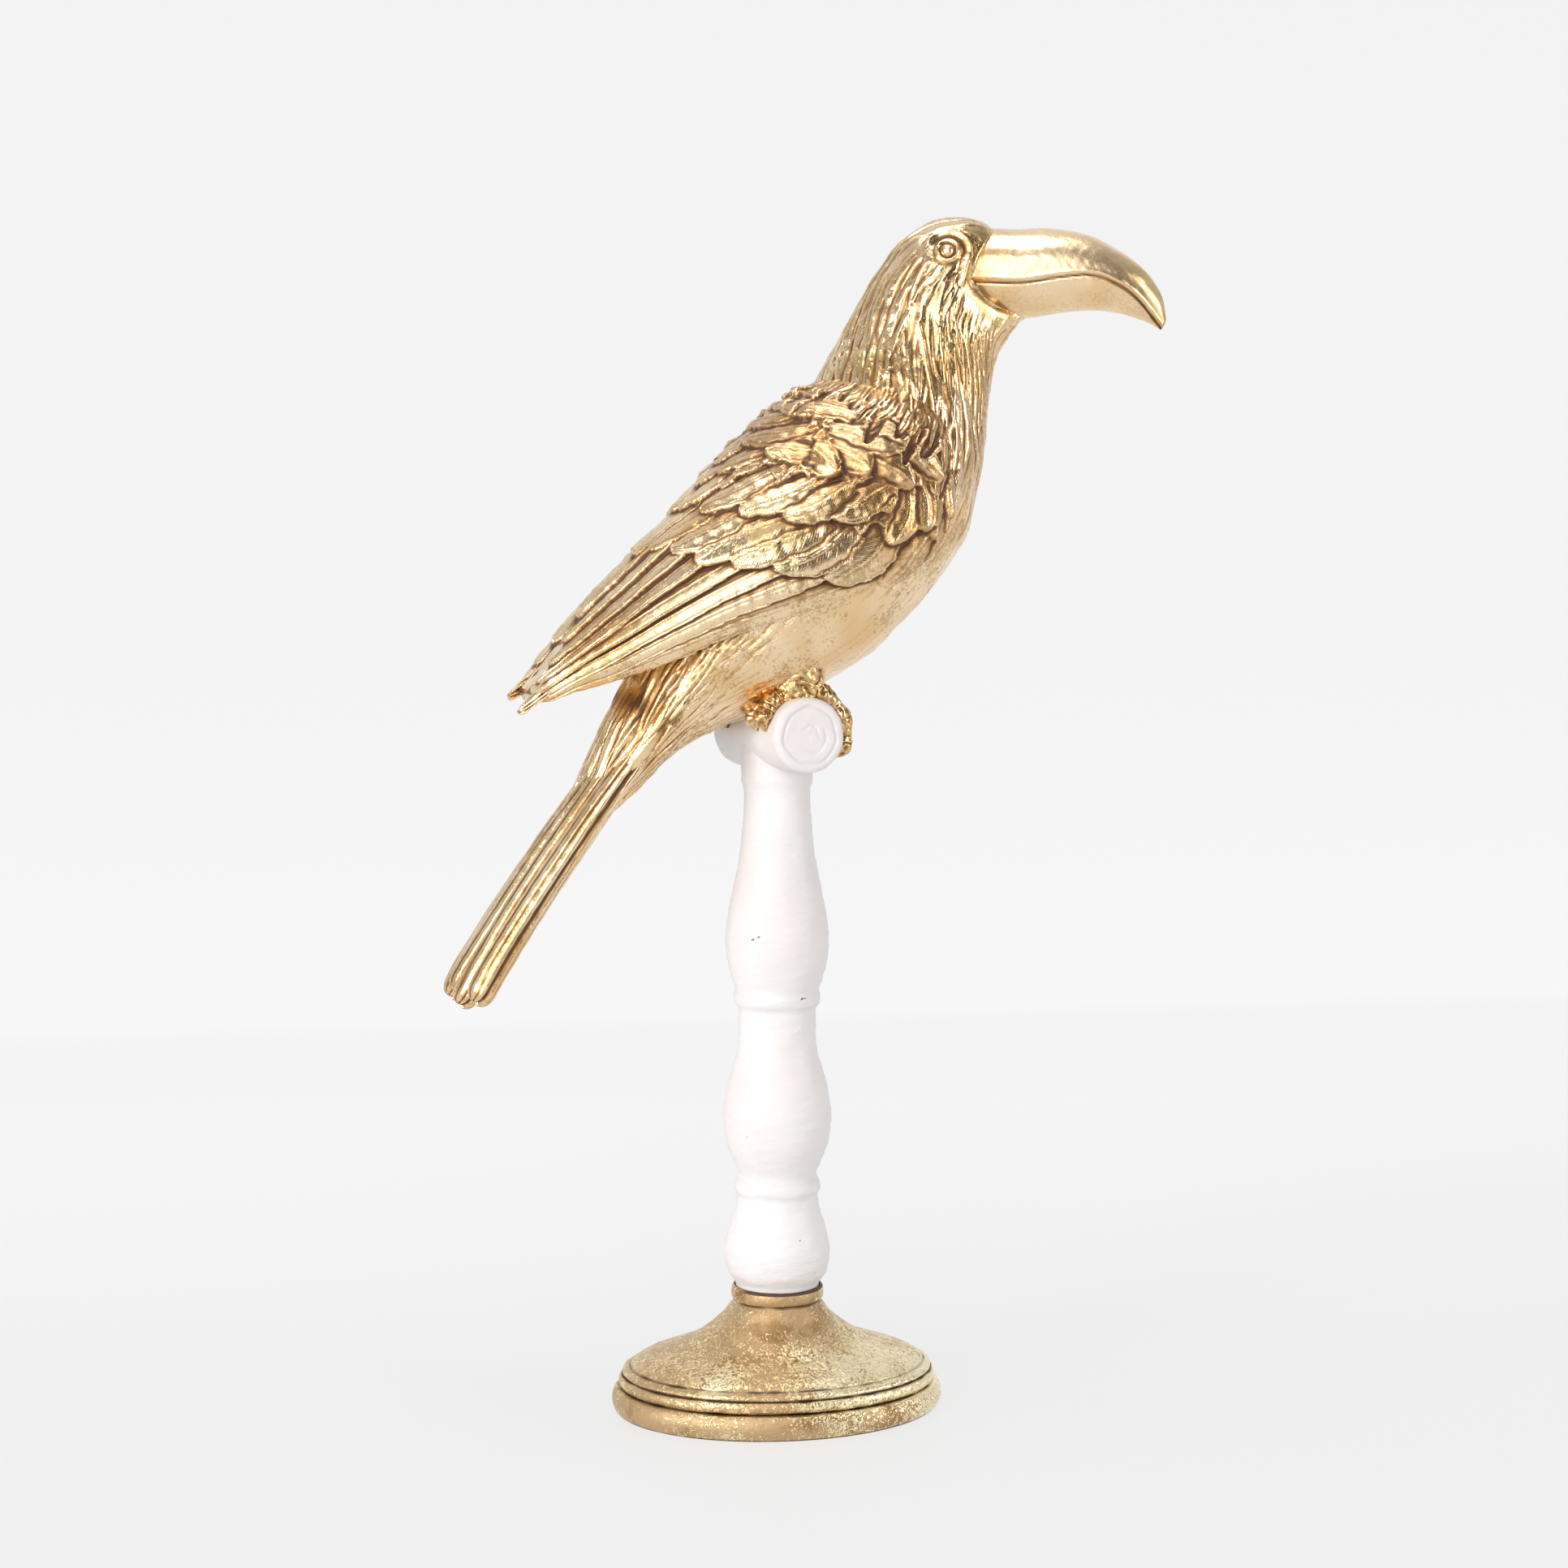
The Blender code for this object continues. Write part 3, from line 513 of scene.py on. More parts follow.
# %% Loft of the body
# Each ring: its back point and its belly point (along, up), half width, share of the head's turn,
# and how far its sides sweep back
BODY_SECTIONS = (
    (-96.5, -56, -91, -59.5, 9, 0, 0),
    (-82.5, -33.5, -73, -39.5, 13, 0, 0),
    (-70, -10.5, -53.5, -21.5, 17, 0, 0),
    (-60, 8, -36, -8, 21.5, 0, 0),
    (-51, 25, -22, 0, 23, 0, 0),
    (-42, 42, -7, 5, 26.5, 0, 0),
    (-31, 59, 13, 12, 33, 0, 0),
    (-19, 76, 35, 28.5, 38.5, 0, 0),
    (-7, 91, 53.5, 48, 41.5, 0, 0),
    (4, 105, 66.5, 66, 41, 0, 0),
    (13, 117, 73, 86, 37.5, 0.05, 0),
    (19, 128.5, 75.8, 104, 33, 0.2, 0),
    (24.5, 139, 78, 121, 29, 0.5, 0),
    (31, 150.5, 80, 131, 27, 0.85, 0),
    (38, 162.5, 82, 136, 25.5, 1, 1),
    (46.5, 173, 84, 139.3, 24.5, 1, 2.5),
    (56.5, 179.3, 86, 142, 23, 1, 5),
    (67, 181, 88, 144, 21.6, 1, 8),
    (75, 179.6, 89.8, 145, 18.6, 1, 11),
    (78.6, 177.6, 91, 145.6, 17.8, 1, 13),
)
BODY_COLUMNS = 400
TORSO_SPACING = 1.0
HEAD_SPACING = 0.56
NECK_STATION = 11.0

body_stations = np.r_[even_stations(BODY_SECTIONS, 0, NECK_STATION, TORSO_SPACING)[:-1],
                      even_stations(BODY_SECTIONS, NECK_STATION, len(BODY_SECTIONS) - 1, HEAD_SPACING)]
body_shares = np.arange(BODY_COLUMNS) / BODY_COLUMNS
level, swing = np.cos(body_shares * math.tau), np.sin(body_shares * math.tau)
back_x, back_z, belly_x, belly_z, half, turn, sweep = spline(BODY_SECTIONS, body_stations).T[:, :, None]
drawn_along = across_ring(back_x, belly_x, level)
drawn_along = drawn_along - sweep * swing**2 * (1 - 0.6 * level - 0.6 * np.minimum(level, 0))
drawn_up = across_ring(back_z, belly_z, level)
jaw = smoothstep(16, 19, body_stations)[:, None] * smoothstep(0.15, -0.5, level)
straight_body = xyz(drawn_along, half * swing * (1 - 0.15 * jaw), drawn_up)
body_points = head_turned(straight_body, np.clip(turn, 0, 1))
body = Chart(body_points, body_stations, body_shares)
print("body grid", body_points.shape[:2])

# %% Locks of plumage over the body
LOCKS_FROM = 0.6
LOCKS_TO = 19.6
ROW_LAP = 0.5
FLANK = 0.27


def plumage_manner(station, share):
    """Length, half width, lift and sideways drift of a lock at a place on the body, millimetres."""
    belly = 0.5 - 0.5 * math.cos(share * math.tau)
    smooth_belly = bell(station - 6.9, 2.8) * smoothstep(0.25, 0.6, belly)
    neck = smoothstep(9.5, 12, station) * (1 - smoothstep(15, 17.5, station))
    rump = 1 - smoothstep(4, 6.5, station)
    face = smoothstep(15, 17, station)
    length = 24 + 6 * rump + 3 * neck - 6 * face
    half = 1.9 + 0.6 * rump - 0.6 * neck - 0.85 * face - 0.25 * belly
    lift = (0.7 + 0.8 * rump + 0.45 * neck * (1 - 0.45 * belly) - 0.15 * face) * (1 - 0.75 * smooth_belly)
    side = math.sin(share * math.tau)
    wave = math.sin(station * 1.9 + share * 31) + 0.7 * math.sin(station * 3.7 - share * 57)
    drift = side * (2.5 * (1 - neck) * (1 - face) + 6 * neck * (belly - 0.4)) + (2 + 1.2 * neck) * wave
    return float(length), float(half), float(lift), float(drift)


def lay_lock(station, share, dice):
    """One lock of plumage, pointing to the tail, and the share of the body that it takes up."""
    length, half, lift, drift = plumage_manner(station, share)
    around = body.scales(station, share)[1]
    size = dice.uniform(0.75, 1.25)
    root = (body.moved(station, share, dice.uniform(-0.4, 0.4) * length),
            share + dice.uniform(-0.4, 0.4) * half / around)
    tip = (body.moved(root[0], share, -size * length), root[1] + (drift + dice.normal() * 1.1) / around)
    body.lay(root, tip, half * dice.uniform(0.8, 1.3),
             lock_section(lift * dice.uniform(0.6, 1.25), int(dice.integers(1, 3)), dice.uniform()),
             bend=dice.normal() * 0.09)
    return max(1.6 * half, 2.4) / around


dice = np.random.default_rng(5)
station, rows_laid = LOCKS_FROM, 0
while station < LOCKS_TO:
    share = dice.uniform(0, 0.01)
    while share < 1:
        share += lay_lock(station, share, dice)
    station += ROW_LAP * plumage_manner(station, FLANK)[0] / body.scales(station, FLANK)[0]
    rows_laid += 1
print("rows of locks laid:", rows_laid)

# %% [markdown]
# ## The face
# The face is laid out in the head's own side view. A bead of an eye sits in a thin ring, inside a
# smooth almond that a raised rim bounds in front; the rim runs on down to the corner of the mouth
# beside a dark groove, where the bill begins.

# %% Face relief
EYE_PLACE = (63.5, 166.8)
EYE_RING = 3.6
EYE_RADIUS = 2.35
BROW_REACH = (7.6, 6.8)
CHEEK_DROP = 9.0

along, up = drawn_along - EYE_PLACE[0], drawn_up - EYE_PLACE[1]
from_eye = np.hypot(along, up)
turn = np.arctan2(up / BROW_REACH[1], along / BROW_REACH[0])
off_rim = (np.hypot(along / BROW_REACH[0], up / BROW_REACH[1]) - 1) * np.mean(BROW_REACH)
on_arc = smoothstep(-0.75, -0.35, turn) * (1 - smoothstep(2.5, 3, turn))
down = (-0.5 * BROW_REACH[1] - up) / CHEEK_DROP
off_cheek = along - (0.87 * BROW_REACH[0] - 1.6 * np.clip(down, 0, 1.2))
on_cheek = smoothstep(-0.1, 0.1, down) * (1 - smoothstep(0.75, 1.15, down))
face = 0.65 * bell(from_eye - EYE_RING, 0.5) - 0.6 * bell(from_eye - 2.6, 0.5)
face = face - 0.25 * bell(from_eye - 5, 0.9)
face += 1.35 * on_arc * bell(off_rim, 0.7) - 0.55 * on_arc * bell(off_rim - 1.9, 0.7)
face -= 0.55 * on_arc * bell(off_rim + 1.7, 0.7)
face += 1.15 * on_cheek * bell(off_cheek, 0.75) - 0.6 * on_cheek * bell(off_cheek + 1.8, 0.8)
almond = 1 - smoothstep(0.75, 1.15, np.hypot((along + 1.5) / 9, up / 6.4))
on_head = smoothstep(14.2, 15.2, body_stations)[:, None]
bare = almond + 0.9 * on_arc * bell(off_rim, 1.8) + 0.9 * on_cheek * bell(off_cheek, 1.6)
bare = np.clip(bare, 0, 1) * on_head
print("face relief from", round(face.min(), 2), "to", round(face.max(), 2), "mm")

# %% Heights and hollows of the whole body
BODY_SINK = 0.45
TAIL_SEAT_SINK = 2.2
TAIL_BACK_SINK = 1.8
BELLY_DIP = ((16, 16), 12.0, 2.4)
TAIL_SHADE = ((-55, 11), 4.0, 0.6)


def side_spot(place, reach, strength):
    """Soft round spot in the side drawing."""
    return strength * bell(np.hypot(drawn_along - place[0], drawn_up - place[1]), reach)


chin = smoothstep(68.5, 72, drawn_along) * smoothstep(141, 146, drawn_up)
chin = chin * (1 - smoothstep(155.5, 158, drawn_up)) * on_head
edge_of_bill = smoothstep(18.6, 19, body_stations)[:, None]
body.height = (body.height * (1 - bare) * (1 - chin) + face * on_head) * (1 - edge_of_bill)
body_patina_and_shade = hollows(soften(body.height, 1)) * (1 - 0.12 * smoothstep(10.5, 12.5, body_stations)[:, None])
# Painted shade, together with the brown wash that gathers there: a soft darker spot on the rump just below
# the wing's lower edge
body_patina_and_shade = np.clip(body_patina_and_shade + side_spot(*TAIL_SHADE), 0, 1)
under_tail = bell(body_stations - 3.2, 1.9)[:, None] * smoothstep(0.2, -0.6, level)
tail_back = smoothstep(3.2, 1.2, body_stations)[:, None] * smoothstep(0, 0.6, level)
body.height -= BODY_SINK * (1 - bare) + TAIL_SEAT_SINK * under_tail + TAIL_BACK_SINK * tail_back
body.height -= side_spot(*BELLY_DIP)
body.height += unevenness(body_points, 11, (6, 0.1), (18, 0.28))
body.height = soften(body.height, 1)
print("body relief from", round(body.height.min(), 2), "to", round(body.height.max(), 2), "mm")

# %% Body pieces
# Rows that close the head, a rolled edge round the upper half and a smooth chin under it: how deep
# the edge goes and the share of the ring it keeps, how far the chin goes and the share it keeps
WING_COVER = 0.16
BILL_SEAT = (
    (-0.5, 0.965, 1.3, 0.962),
    (-0.9, 0.940, 3.6, 0.942),
    (-0.8, 0.910, 6.6, 0.912),
    (-0.2, 0.870, 9.8, 0.876),
    (0.8, 0.820, 13.0, 0.830),
)
SEAT_HOLLOW = (0, 0, 0.2, 0.6, 0.8)

ring = straight_body[-1]
middle = ring.mean(axis=0)
over = smoothstep(-0.6, -0.25, level)
seat = []
for depth, edge_share, forward, chin_share in BILL_SEAT:
    row = middle + (ring - middle) * (edge_share * over + (1 - over))[:, None]
    row[:, 0] += forward * (1 - over) - depth * over
    row[:, 1] *= chin_share * (1 - over) + over
    row[:, 2] += (BODY_SINK + 0.24 * forward) * (1 - over) * np.abs(ring[:, 2] - middle[2]) / 16
    seat.append(row)
seat_rows = ((0, len(BILL_SEAT)), (0, 0))
body_surface = placed(np.concatenate([raised(body_points, body.height), head_turned(np.array(seat), 1)]))
body_normals, _ = grid_normals(body_surface)
body_patina_and_shade = np.concatenate([body_patina_and_shade, np.outer(SEAT_HOLLOW, smoothstep(-0.5, -0.2, level))])
body_grain = np.pad(body.grain, seat_rows)
from_back = np.minimum(body_shares, 1 - body_shares)[None, :]
under_wings = ((body_stations > 4.6) & (body_stations < 9.8))[:, None] & (from_back < WING_COVER)
seen = ~np.pad(under_wings, seat_rows)
neck_row = int(np.searchsorted(body_stations, NECK_STATION))
for name, rows in (("torso", slice(0, neck_row + 1)), ("neck_and_head", slice(neck_row, None))):
    dress(grid_piece(name, body_surface[rows], plumage_gold, body_patina_and_shade[rows], body_grain[rows],
                     keep=seen[rows], normals=body_normals[rows]))

# %% Eyes
EYE_STEPS = 40
EYE_SUNK = 0.9

lift = np.linspace(0.02, math.pi - 0.02, EYE_STEPS // 2)[:, None]
around = turns(EYE_STEPS)
bead = xyz(np.sin(lift) * np.cos(around), np.sin(lift) * np.sin(around), np.cos(lift))
for hand, name in ((-1, "near_eye"), (1, "far_eye")):
    on_side = (straight_body[..., 1] * hand > 0) & (body_stations > 15)[:, None]
    place = np.unravel_index(np.argmin(np.where(on_side, from_eye, 1e3)), from_eye.shape)
    centre = body_points[place] - grid_normals(body_points)[0][place] * EYE_SUNK
    dress(grid_piece(name, placed(centre + bead * EYE_RADIUS), bill_gold))

# %% [markdown]
# ## The bill
# Two smooth halves, the lower a little narrower, meet at a line with a raised lip. Burnished leaf
# covers it, so it stays plain and mirrors the room.

# %% Bill
# Each ring: its ridge point and its under point (along, up), half width, and how high the mouth
# line runs
BILL_SECTIONS = (
    (60, 172, 66, 150, 14, 0.36),
    (76, 176.6, 79, 146, 15.9, 0.36),
    (87, 176.6, 90, 145.8, 15.8, 0.35),
    (98, 176.8, 103, 147.6, 14.9, 0.37),
    (112, 174.3, 114.5, 148.2, 13.2, 0.42),
    (123, 168.8, 122.5, 147.2, 11.2, 0.41),
    (132, 161.8, 128.5, 145.4, 8.4, 0.34),
    (137.8, 153, 133.5, 143.4, 5, 0.23),
    (139.6, 145, 137.6, 141, 2.2, 0.15),
)
BILL_SPACING = 0.6
BILL_COLUMNS = 150

bill_stations = even_stations(BILL_SECTIONS, 0.5, len(BILL_SECTIONS) - 1, BILL_SPACING)
ridge_x, ridge_z, under_x, under_z, half, mouth = spline(BILL_SECTIONS, bill_stations).T[:, :, None]
angle = turns(BILL_COLUMNS)
level = np.cos(angle)
below = (2 * mouth - 1 - level) * np.hypot(ridge_x - under_x, ridge_z - under_z) / 2
lower = 1 / (1 + np.exp(-below / 0.35))
lip = 0.5 * bell(below + 0.9, 0.65)
groove = 0.85 * bell(below - 0.3, 0.42)
reach = np.clip(1 - (1.1 * lower + groove - lip) / half, 0.2, 1.2)
bill_points = xyz(across_ring(ridge_x, under_x, level), half * np.sin(angle) * reach,
                  across_ring(ridge_z, under_z, level))
bill_points = closed_tip(head_turned(bill_points, 1))
bill_height = unevenness(bill_points, 21, (9, 0.09), (2.5, 0.03))
# Painted dark reflection: patchy brown over the last part of the bill, towards its tip
tip_dark_reflection = np.clip(0.4 + 0.7 * wobble(bill_points, 5, seed=23), 0, 1)
bill_patina_and_reflection = to_tip(np.clip(groove / 1.2, 0, 1), "constant")
bill_patina_and_reflection += 0.3 * smoothstep(110, 134, bill_points[..., 0]) * tip_dark_reflection
bird_piece("bill", bill_points, bill_height, bill_gold, bill_patina_and_reflection)

# %% [markdown]
# ## The folded wings
# A folded wing is a shingled roof. The long quills lie lowest and run to the tip, each upper one
# over the next. Rows of coverts cover their roots, and broad leaf-like shoulder feathers cover
# those. The near wing laps over the far one along the back.

# %% Wing tables
# Each section: its ridge point and its low point (along, up), half width at the low edge, and the
# widest half width
WING_SECTIONS = (
    (25, 127, 54, 115, 25, 28),
    (14, 121.5, 55, 102, 32, 39.5),
    (2, 116, 53, 84, 37, 45),
    (-10, 106, 46, 65, 39, 47.5),
    (-23, 93.5, 28, 51, 38, 46.5),
    (-36, 79, 3, 42, 35.5, 43.5),
    (-49, 65, -22, 35, 31, 38.5),
    (-60, 53.5, -42, 27.5, 26.5, 33),
    (-71, 42, -59, 21, 21.5, 27.5),
    (-81, 30.5, -75, 16.5, 16, 21),
    (-88, 22, -84.5, 13, 10.5, 14.5),
    (-91.5, 17, -89, 12.3, 5.5, 8),
)
QUILLS = 8
QUILL_ROOT = 3.4
QUILL_HALF = 6.9
QUILL_FIRST_TIP = 8.1
QUILL_TIP_STEP = 0.72
BACK_ROWS = np.arange(3.3, 0.6, -0.42)
BACK_HALF = 5.2
COVERT_WIDEN = 1.16
TUFT_ROWS = (0.95, 0.55, 0.15, -0.25)
WING_SINK = 1.7
UNDERSIDE = 9

# Wing feathers in the order they are laid. Each has its root and tip as a station along the
# wing and a share across it, its half width and its lift, in millimetres
GREATER_COVERTS = (
    ((3.05, 0.93), (4.1, 0.98), 6, 2), ((3.45, 0.8), (4.65, 0.86), 6.8, 2.4),
    ((3.8, 0.7), (5.1, 0.7), 6.8, 2.6), ((3.95, 0.6), (5.5, 0.57), 6.6, 2.6),
    ((4.05, 0.52), (5.85, 0.44), 6.8, 2.8), ((4.4, 0.4), (5.95, 0.29), 6.6, 2.8),
    ((4.55, 0.24), (6.1, 0.14), 6.4, 2.8), ((4.7, 0.08), (6.25, 0), 6.4, 3),
)
MEDIAN_COVERTS = (
    ((2.7, 0.76), (3.6, 0.84), 4.6, 2.4), ((2.85, 0.68), (3.9, 0.62), 5.4, 2.4),
    ((3.25, 0.58), (4.4, 0.52), 5.6, 2.4), ((3.6, 0.47), (4.75, 0.38), 5.6, 2.5),
    ((3.8, 0.33), (5.05, 0.22), 5.8, 2.7), ((4, 0.14), (5.1, 0.04), 5.4, 2.9),
    ((2.45, 0.8), (3.05, 0.9), 3.9, 2.2), ((3.75, 0.08), (4.45, 0), 4.6, 2.8),
    ((3.3, 0.22), (4.2, 0.1), 5, 2.6),
)
SHOULDER_FEATHERS = (
    ((3.1, 0.08), (4, 0), 4.6, 2.7), ((2, 0.66), (2.05, 0.88), 4.6, 2),
    ((2.55, 0.56), (2.55, 0.76), 5.2, 2.2), ((2.75, 0.42), (2.85, 0.6), 5.2, 2.3),
    ((3.05, 0.33), (3.2, 0.52), 5, 2.5), ((3.05, 0.38), (3.5, 0.24), 5, 2.5),
    ((2.65, 0.3), (3.45, 0.08), 5.2, 2.5), ((2.45, 0.38), (2, 0.68), 4.8, 2.3),
    ((2.4, 0.2), (2.9, 0), 4.6, 2.5), ((1.9, 0.48), (1.8, 0.72), 4.6, 2.1),
    ((1.85, 0.42), (2.35, 0.1), 4.8, 2.3), ((2, 0.14), (2.25, 0), 3.8, 2.2),
    ((1.3, 0.52), (1.6, 0.84), 4.2, 1.8), ((1.1, 0.46), (1.65, 0), 5.2, 2.4),
    ((0.7, 0.62), (1.15, 0.88), 3.8, 1.2), ((0.7, 0.45), (1, 0.14), 4.4, 1.5),
)

# Kinds of vane: where the tip starts to round, width at the root, height of rim, barbs and dome,
# lean and pitch of the barbs, and tilt over the next feather
QUILL_VANE = (0.9, 0.9, 0.55, 0.05, 0.5, 2.4, 1.9, 1.5)
BACK_VANE = (0.45, 0.9, 0.45, 0.04, 0.7, 1.1, 1.9, 0.3)
COVERT_TIERS = (
    (GREATER_COVERTS, (0.6, 0.75, 0.6, 0.09, 0.6, 1.3, 2.3, 0.7)),
    (MEDIAN_COVERTS, (0.5, 0.75, 0.6, 0.07, 0.9, 1.9, 2.8, 0.7)),
    (SHOULDER_FEATHERS, (0.4, 0.75, 0.6, 0.06, 1.4, 3.2, 4.6, 0.7)),
)
print("coverts and shoulder feathers:", sum(len(table) for table, vane in COVERT_TIERS))


# %% Feathers of one wing
def lay_quills(chart, dice):
    """Long quills, which follow the wing's own stations and narrow with it."""
    for k in reversed(range(QUILLS)):
        share = (k + 0.3) / QUILLS
        tip = min(QUILL_FIRST_TIP + QUILL_TIP_STEP * k, len(WING_SECTIONS) - 0.6)
        run = (chart.stations - QUILL_ROOT) / (tip - QUILL_ROOT)
        middle = share * (1 - 0.03 * run)
        width = chart.per_share.mean(axis=1)
        b = (chart.shares - middle[:, None]) * width[:, None] / (QUILL_HALF * (1 - 0.45 * run))[:, None]
        length = (tip - QUILL_ROOT) * chart.per_station.mean()
        section = vane_section(2, dice.uniform(), *QUILL_VANE)
        chart.write(..., *section(run[:, None] + 0 * b, b, length, QUILL_HALF))


def feather_wing(chart, dice):
    """Lays every feather of one folded wing, long quills first and the cape's tufts last."""
    lay_quills(chart, dice)
    for row, station in enumerate(BACK_ROWS):
        for share in np.arange(0.03 + 0.055 * (row % 2), 1, 0.11):
            start = (station + dice.uniform(-0.06, 0.06), share + dice.uniform(-0.01, 0.01))
            tip = (start[0] + 0.85, start[1] + 0.1 * (2 * share - 1))
            chart.lay(start, tip, BACK_HALF, vane_section(1.3, dice.uniform(), *BACK_VANE))
    for table, vane in COVERT_TIERS:
        for root, tip, half, lift in table:
            section = vane_section(lift, dice.uniform(), *vane)
            chart.lay(root, tip, half * COVERT_WIDEN, section, bend=dice.uniform(-0.1, 0.06))
    for station in TUFT_ROWS:
        for share in np.arange(0.07, 1, 0.038):
            start = (station + dice.uniform(-0.3, 0.3), share + dice.uniform(-0.04, 0.04))
            reach = dice.uniform(0.7, 1.5)
            lift = dice.uniform(0.8, 1.7) * (0.55 + 0.45 * smoothstep(0.05, 0.3, share))
            chart.lay(start, (start[0] + reach, start[1] + dice.uniform(-0.07, 0.03)), dice.uniform(1.4, 2.5),
                      lock_section(lift, int(dice.integers(1, 3)), dice.uniform()),
                      bend=dice.uniform(-0.15, 0.15))


def wing_loft(stations, shares, hand):
    """Outer grid of one folded wing, from its ridge round to its low edge."""
    ridge_x, ridge_z, low_x, low_z, edge, wide = spline(WING_SECTIONS, stations).T[:, :, None]
    last = math.pi - np.arcsin(np.minimum(edge / wide, 0.999))
    down = (1 - np.cos(shares * last)) / (1 - np.cos(last))
    return xyz(ridge_x + (low_x - ridge_x) * down, hand * wide * np.sin(shares * last),
               ridge_z + (low_z - ridge_z) * down)


def wing_piece(name, hand, spacing, columns, lap, seed):
    """One wing with its feathers, and a plain underside that runs in to the middle."""
    stations = even_stations(WING_SECTIONS, 0, len(WING_SECTIONS) - 1, spacing)
    shares = np.linspace(-lap, 1, columns)
    points = wing_loft(stations, shares, hand)
    chart = Chart(points, stations, shares, closed=False)
    feather_wing(chart, np.random.default_rng(seed))
    relief = soften(chart.height * (1 - 0.1 * bell(shares, 0.1)), 1, closed=False)
    along = stations[:, None]
    height = relief - WING_SINK
    height += 0.12 * wobble(points, 5, seed=seed + 1)
    height -= 0.9 * bell(shares, 0.15) * bell(along - 4.5, 3)
    height += 2 * bell(shares, 0.2) * bell(along - 0.9, 0.9)
    height *= smoothstep(0, 0.5, along) * (0.4 + 0.6 * smoothstep(11, 9.5, along))
    outside = raised(points, height, closed=False)
    rim = outside[:, -1:]
    to_middle = np.array([1.0, 0.0, 1.0])
    inward = np.linspace(0, 1, UNDERSIDE + 1)[None, 1:, None]
    surface = np.concatenate([outside, rim + (rim * to_middle - rim) * inward], axis=1)
    end = surface[-1:].mean(axis=1, keepdims=True) * to_middle
    surface = np.concatenate([surface, end + 0 * surface[-1:]])
    # Painted shade: extra brown over the shoulder end of the wing, fading out by station 5.2
    shoulder_shade = 0.19 * smoothstep(5.2, 3.2, along)
    hollow = np.clip(hollows(relief, narrow=7, depth=0.36, closed=False) + shoulder_shade, 0, 1)
    hollow, grain = (np.pad(field, ((0, 1), (0, UNDERSIDE)), mode="edge") for field in (hollow, chart.grain))
    dress(grid_piece(name, placed(surface), plumage_gold, hollow, grain, closed=False))


wing_piece("near_wing", -1, spacing=0.47, columns=218, lap=0.05, seed=31)
wing_piece("far_wing", 1, spacing=0.66, columns=165, lap=0, seed=37)

# %% [markdown]
# ## Tail and wing tips
# The tail is a stack of five long feathers, the middle one on top. Each is a flattened rod with a
# raised shaft and long ridges. The two longest quills run out past the wings as blunt blades.

# %% Long feathers as swept rods
TAIL_LINE = ((-42, 14), (-54, -2), (-66, -18), (-79, -35.5), (-92.5, -54.5), (-106.5, -75.5), (-115, -89.5))
TAIL_SHORT = (0.035, 0, 0.03, 0.005, 0.045)
TAIL_FEATHERS = len(TAIL_SHORT)
TAIL_LENGTH = 125.0
TAIL_STEP = 7.4
TAIL_DROP = 1.2
TAIL_HALF = 6.2
TAIL_THICK = 4.4
TAIL_ROWS = 205
TAIL_COLUMNS = 62


def directions(line):
    """Unit direction of a line at each of its points."""
    way = np.gradient(line, axis=0)
    return way / np.linalg.norm(way, axis=1)[:, None]


def tail_feather(k):
    """One tail feather, angle 0 being its lower side; the outer ones step down and back."""
    place = k - (TAIL_FEATHERS - 1) / 2
    run = np.linspace(0, 1, TAIL_ROWS)[:, None]
    line = spline(TAIL_LINE, run[:, 0] * (1 - TAIL_SHORT[k]) * (len(TAIL_LINE) - 1))
    way = directions(line)
    blunt = np.sqrt(np.maximum(1 - np.maximum((run - 0.93) / 0.07, 0) ** 2.5, 0.02))
    angle = turns(TAIL_COLUMNS, -math.pi)[None, :]
    drop = -TAIL_DROP * smoothstep(0, 0.35, run) + abs(place)**1.5
    lift = drop + TAIL_THICK * (0.45 + 0.55 * blunt) * np.cos(angle)
    side = TAIL_STEP * place * (0.78 + 0.4 * run) + TAIL_HALF * blunt * (0.9 + 0.15 * run) * np.sin(angle)
    points = closed_tip(xyz(line[:, :1] - way[:, 1:] * lift, side, line[:, 1:] + way[:, :1] * lift))
    folded = np.abs(angle)
    phase = np.random.default_rng(50 + k).uniform(0, 6)
    fold = angle * 4.5 + 0.55 * np.sin(run * 5 + phase) + 0.25 * np.sin(run * 13 + 2 * phase)
    ridges = np.abs(np.sin(fold)) ** 0.7 - 0.6
    height = 0.95 * bell(folded, 0.17) - 0.85 * bell(folded - 0.42, 0.17) + 0.6 * bell(folded - 0.85, 0.2)
    height = height - 0.7 * bell(folded - 1.3, 0.17)
    height = height + 0.55 * ridges * smoothstep(0.2, 0.5, folded)
    height = to_tip(height + 0.1 * np.sin(angle * 21 + 3 * np.sin(run * 4 + phase)))
    grain = to_tip(folded * TAIL_HALF * 2.6 + 0.06 * run * TAIL_LENGTH)
    height += 0.06 * wobble(points, 6, seed=60 + k)
    bird_piece(f"tail_feather_{k + 1}", points, height, grain=grain)


for k in range(TAIL_FEATHERS):
    tail_feather(k)


# %% Wing-tip blades
BLADE_HALF = 7.5
BLADE_THICK = 2.4


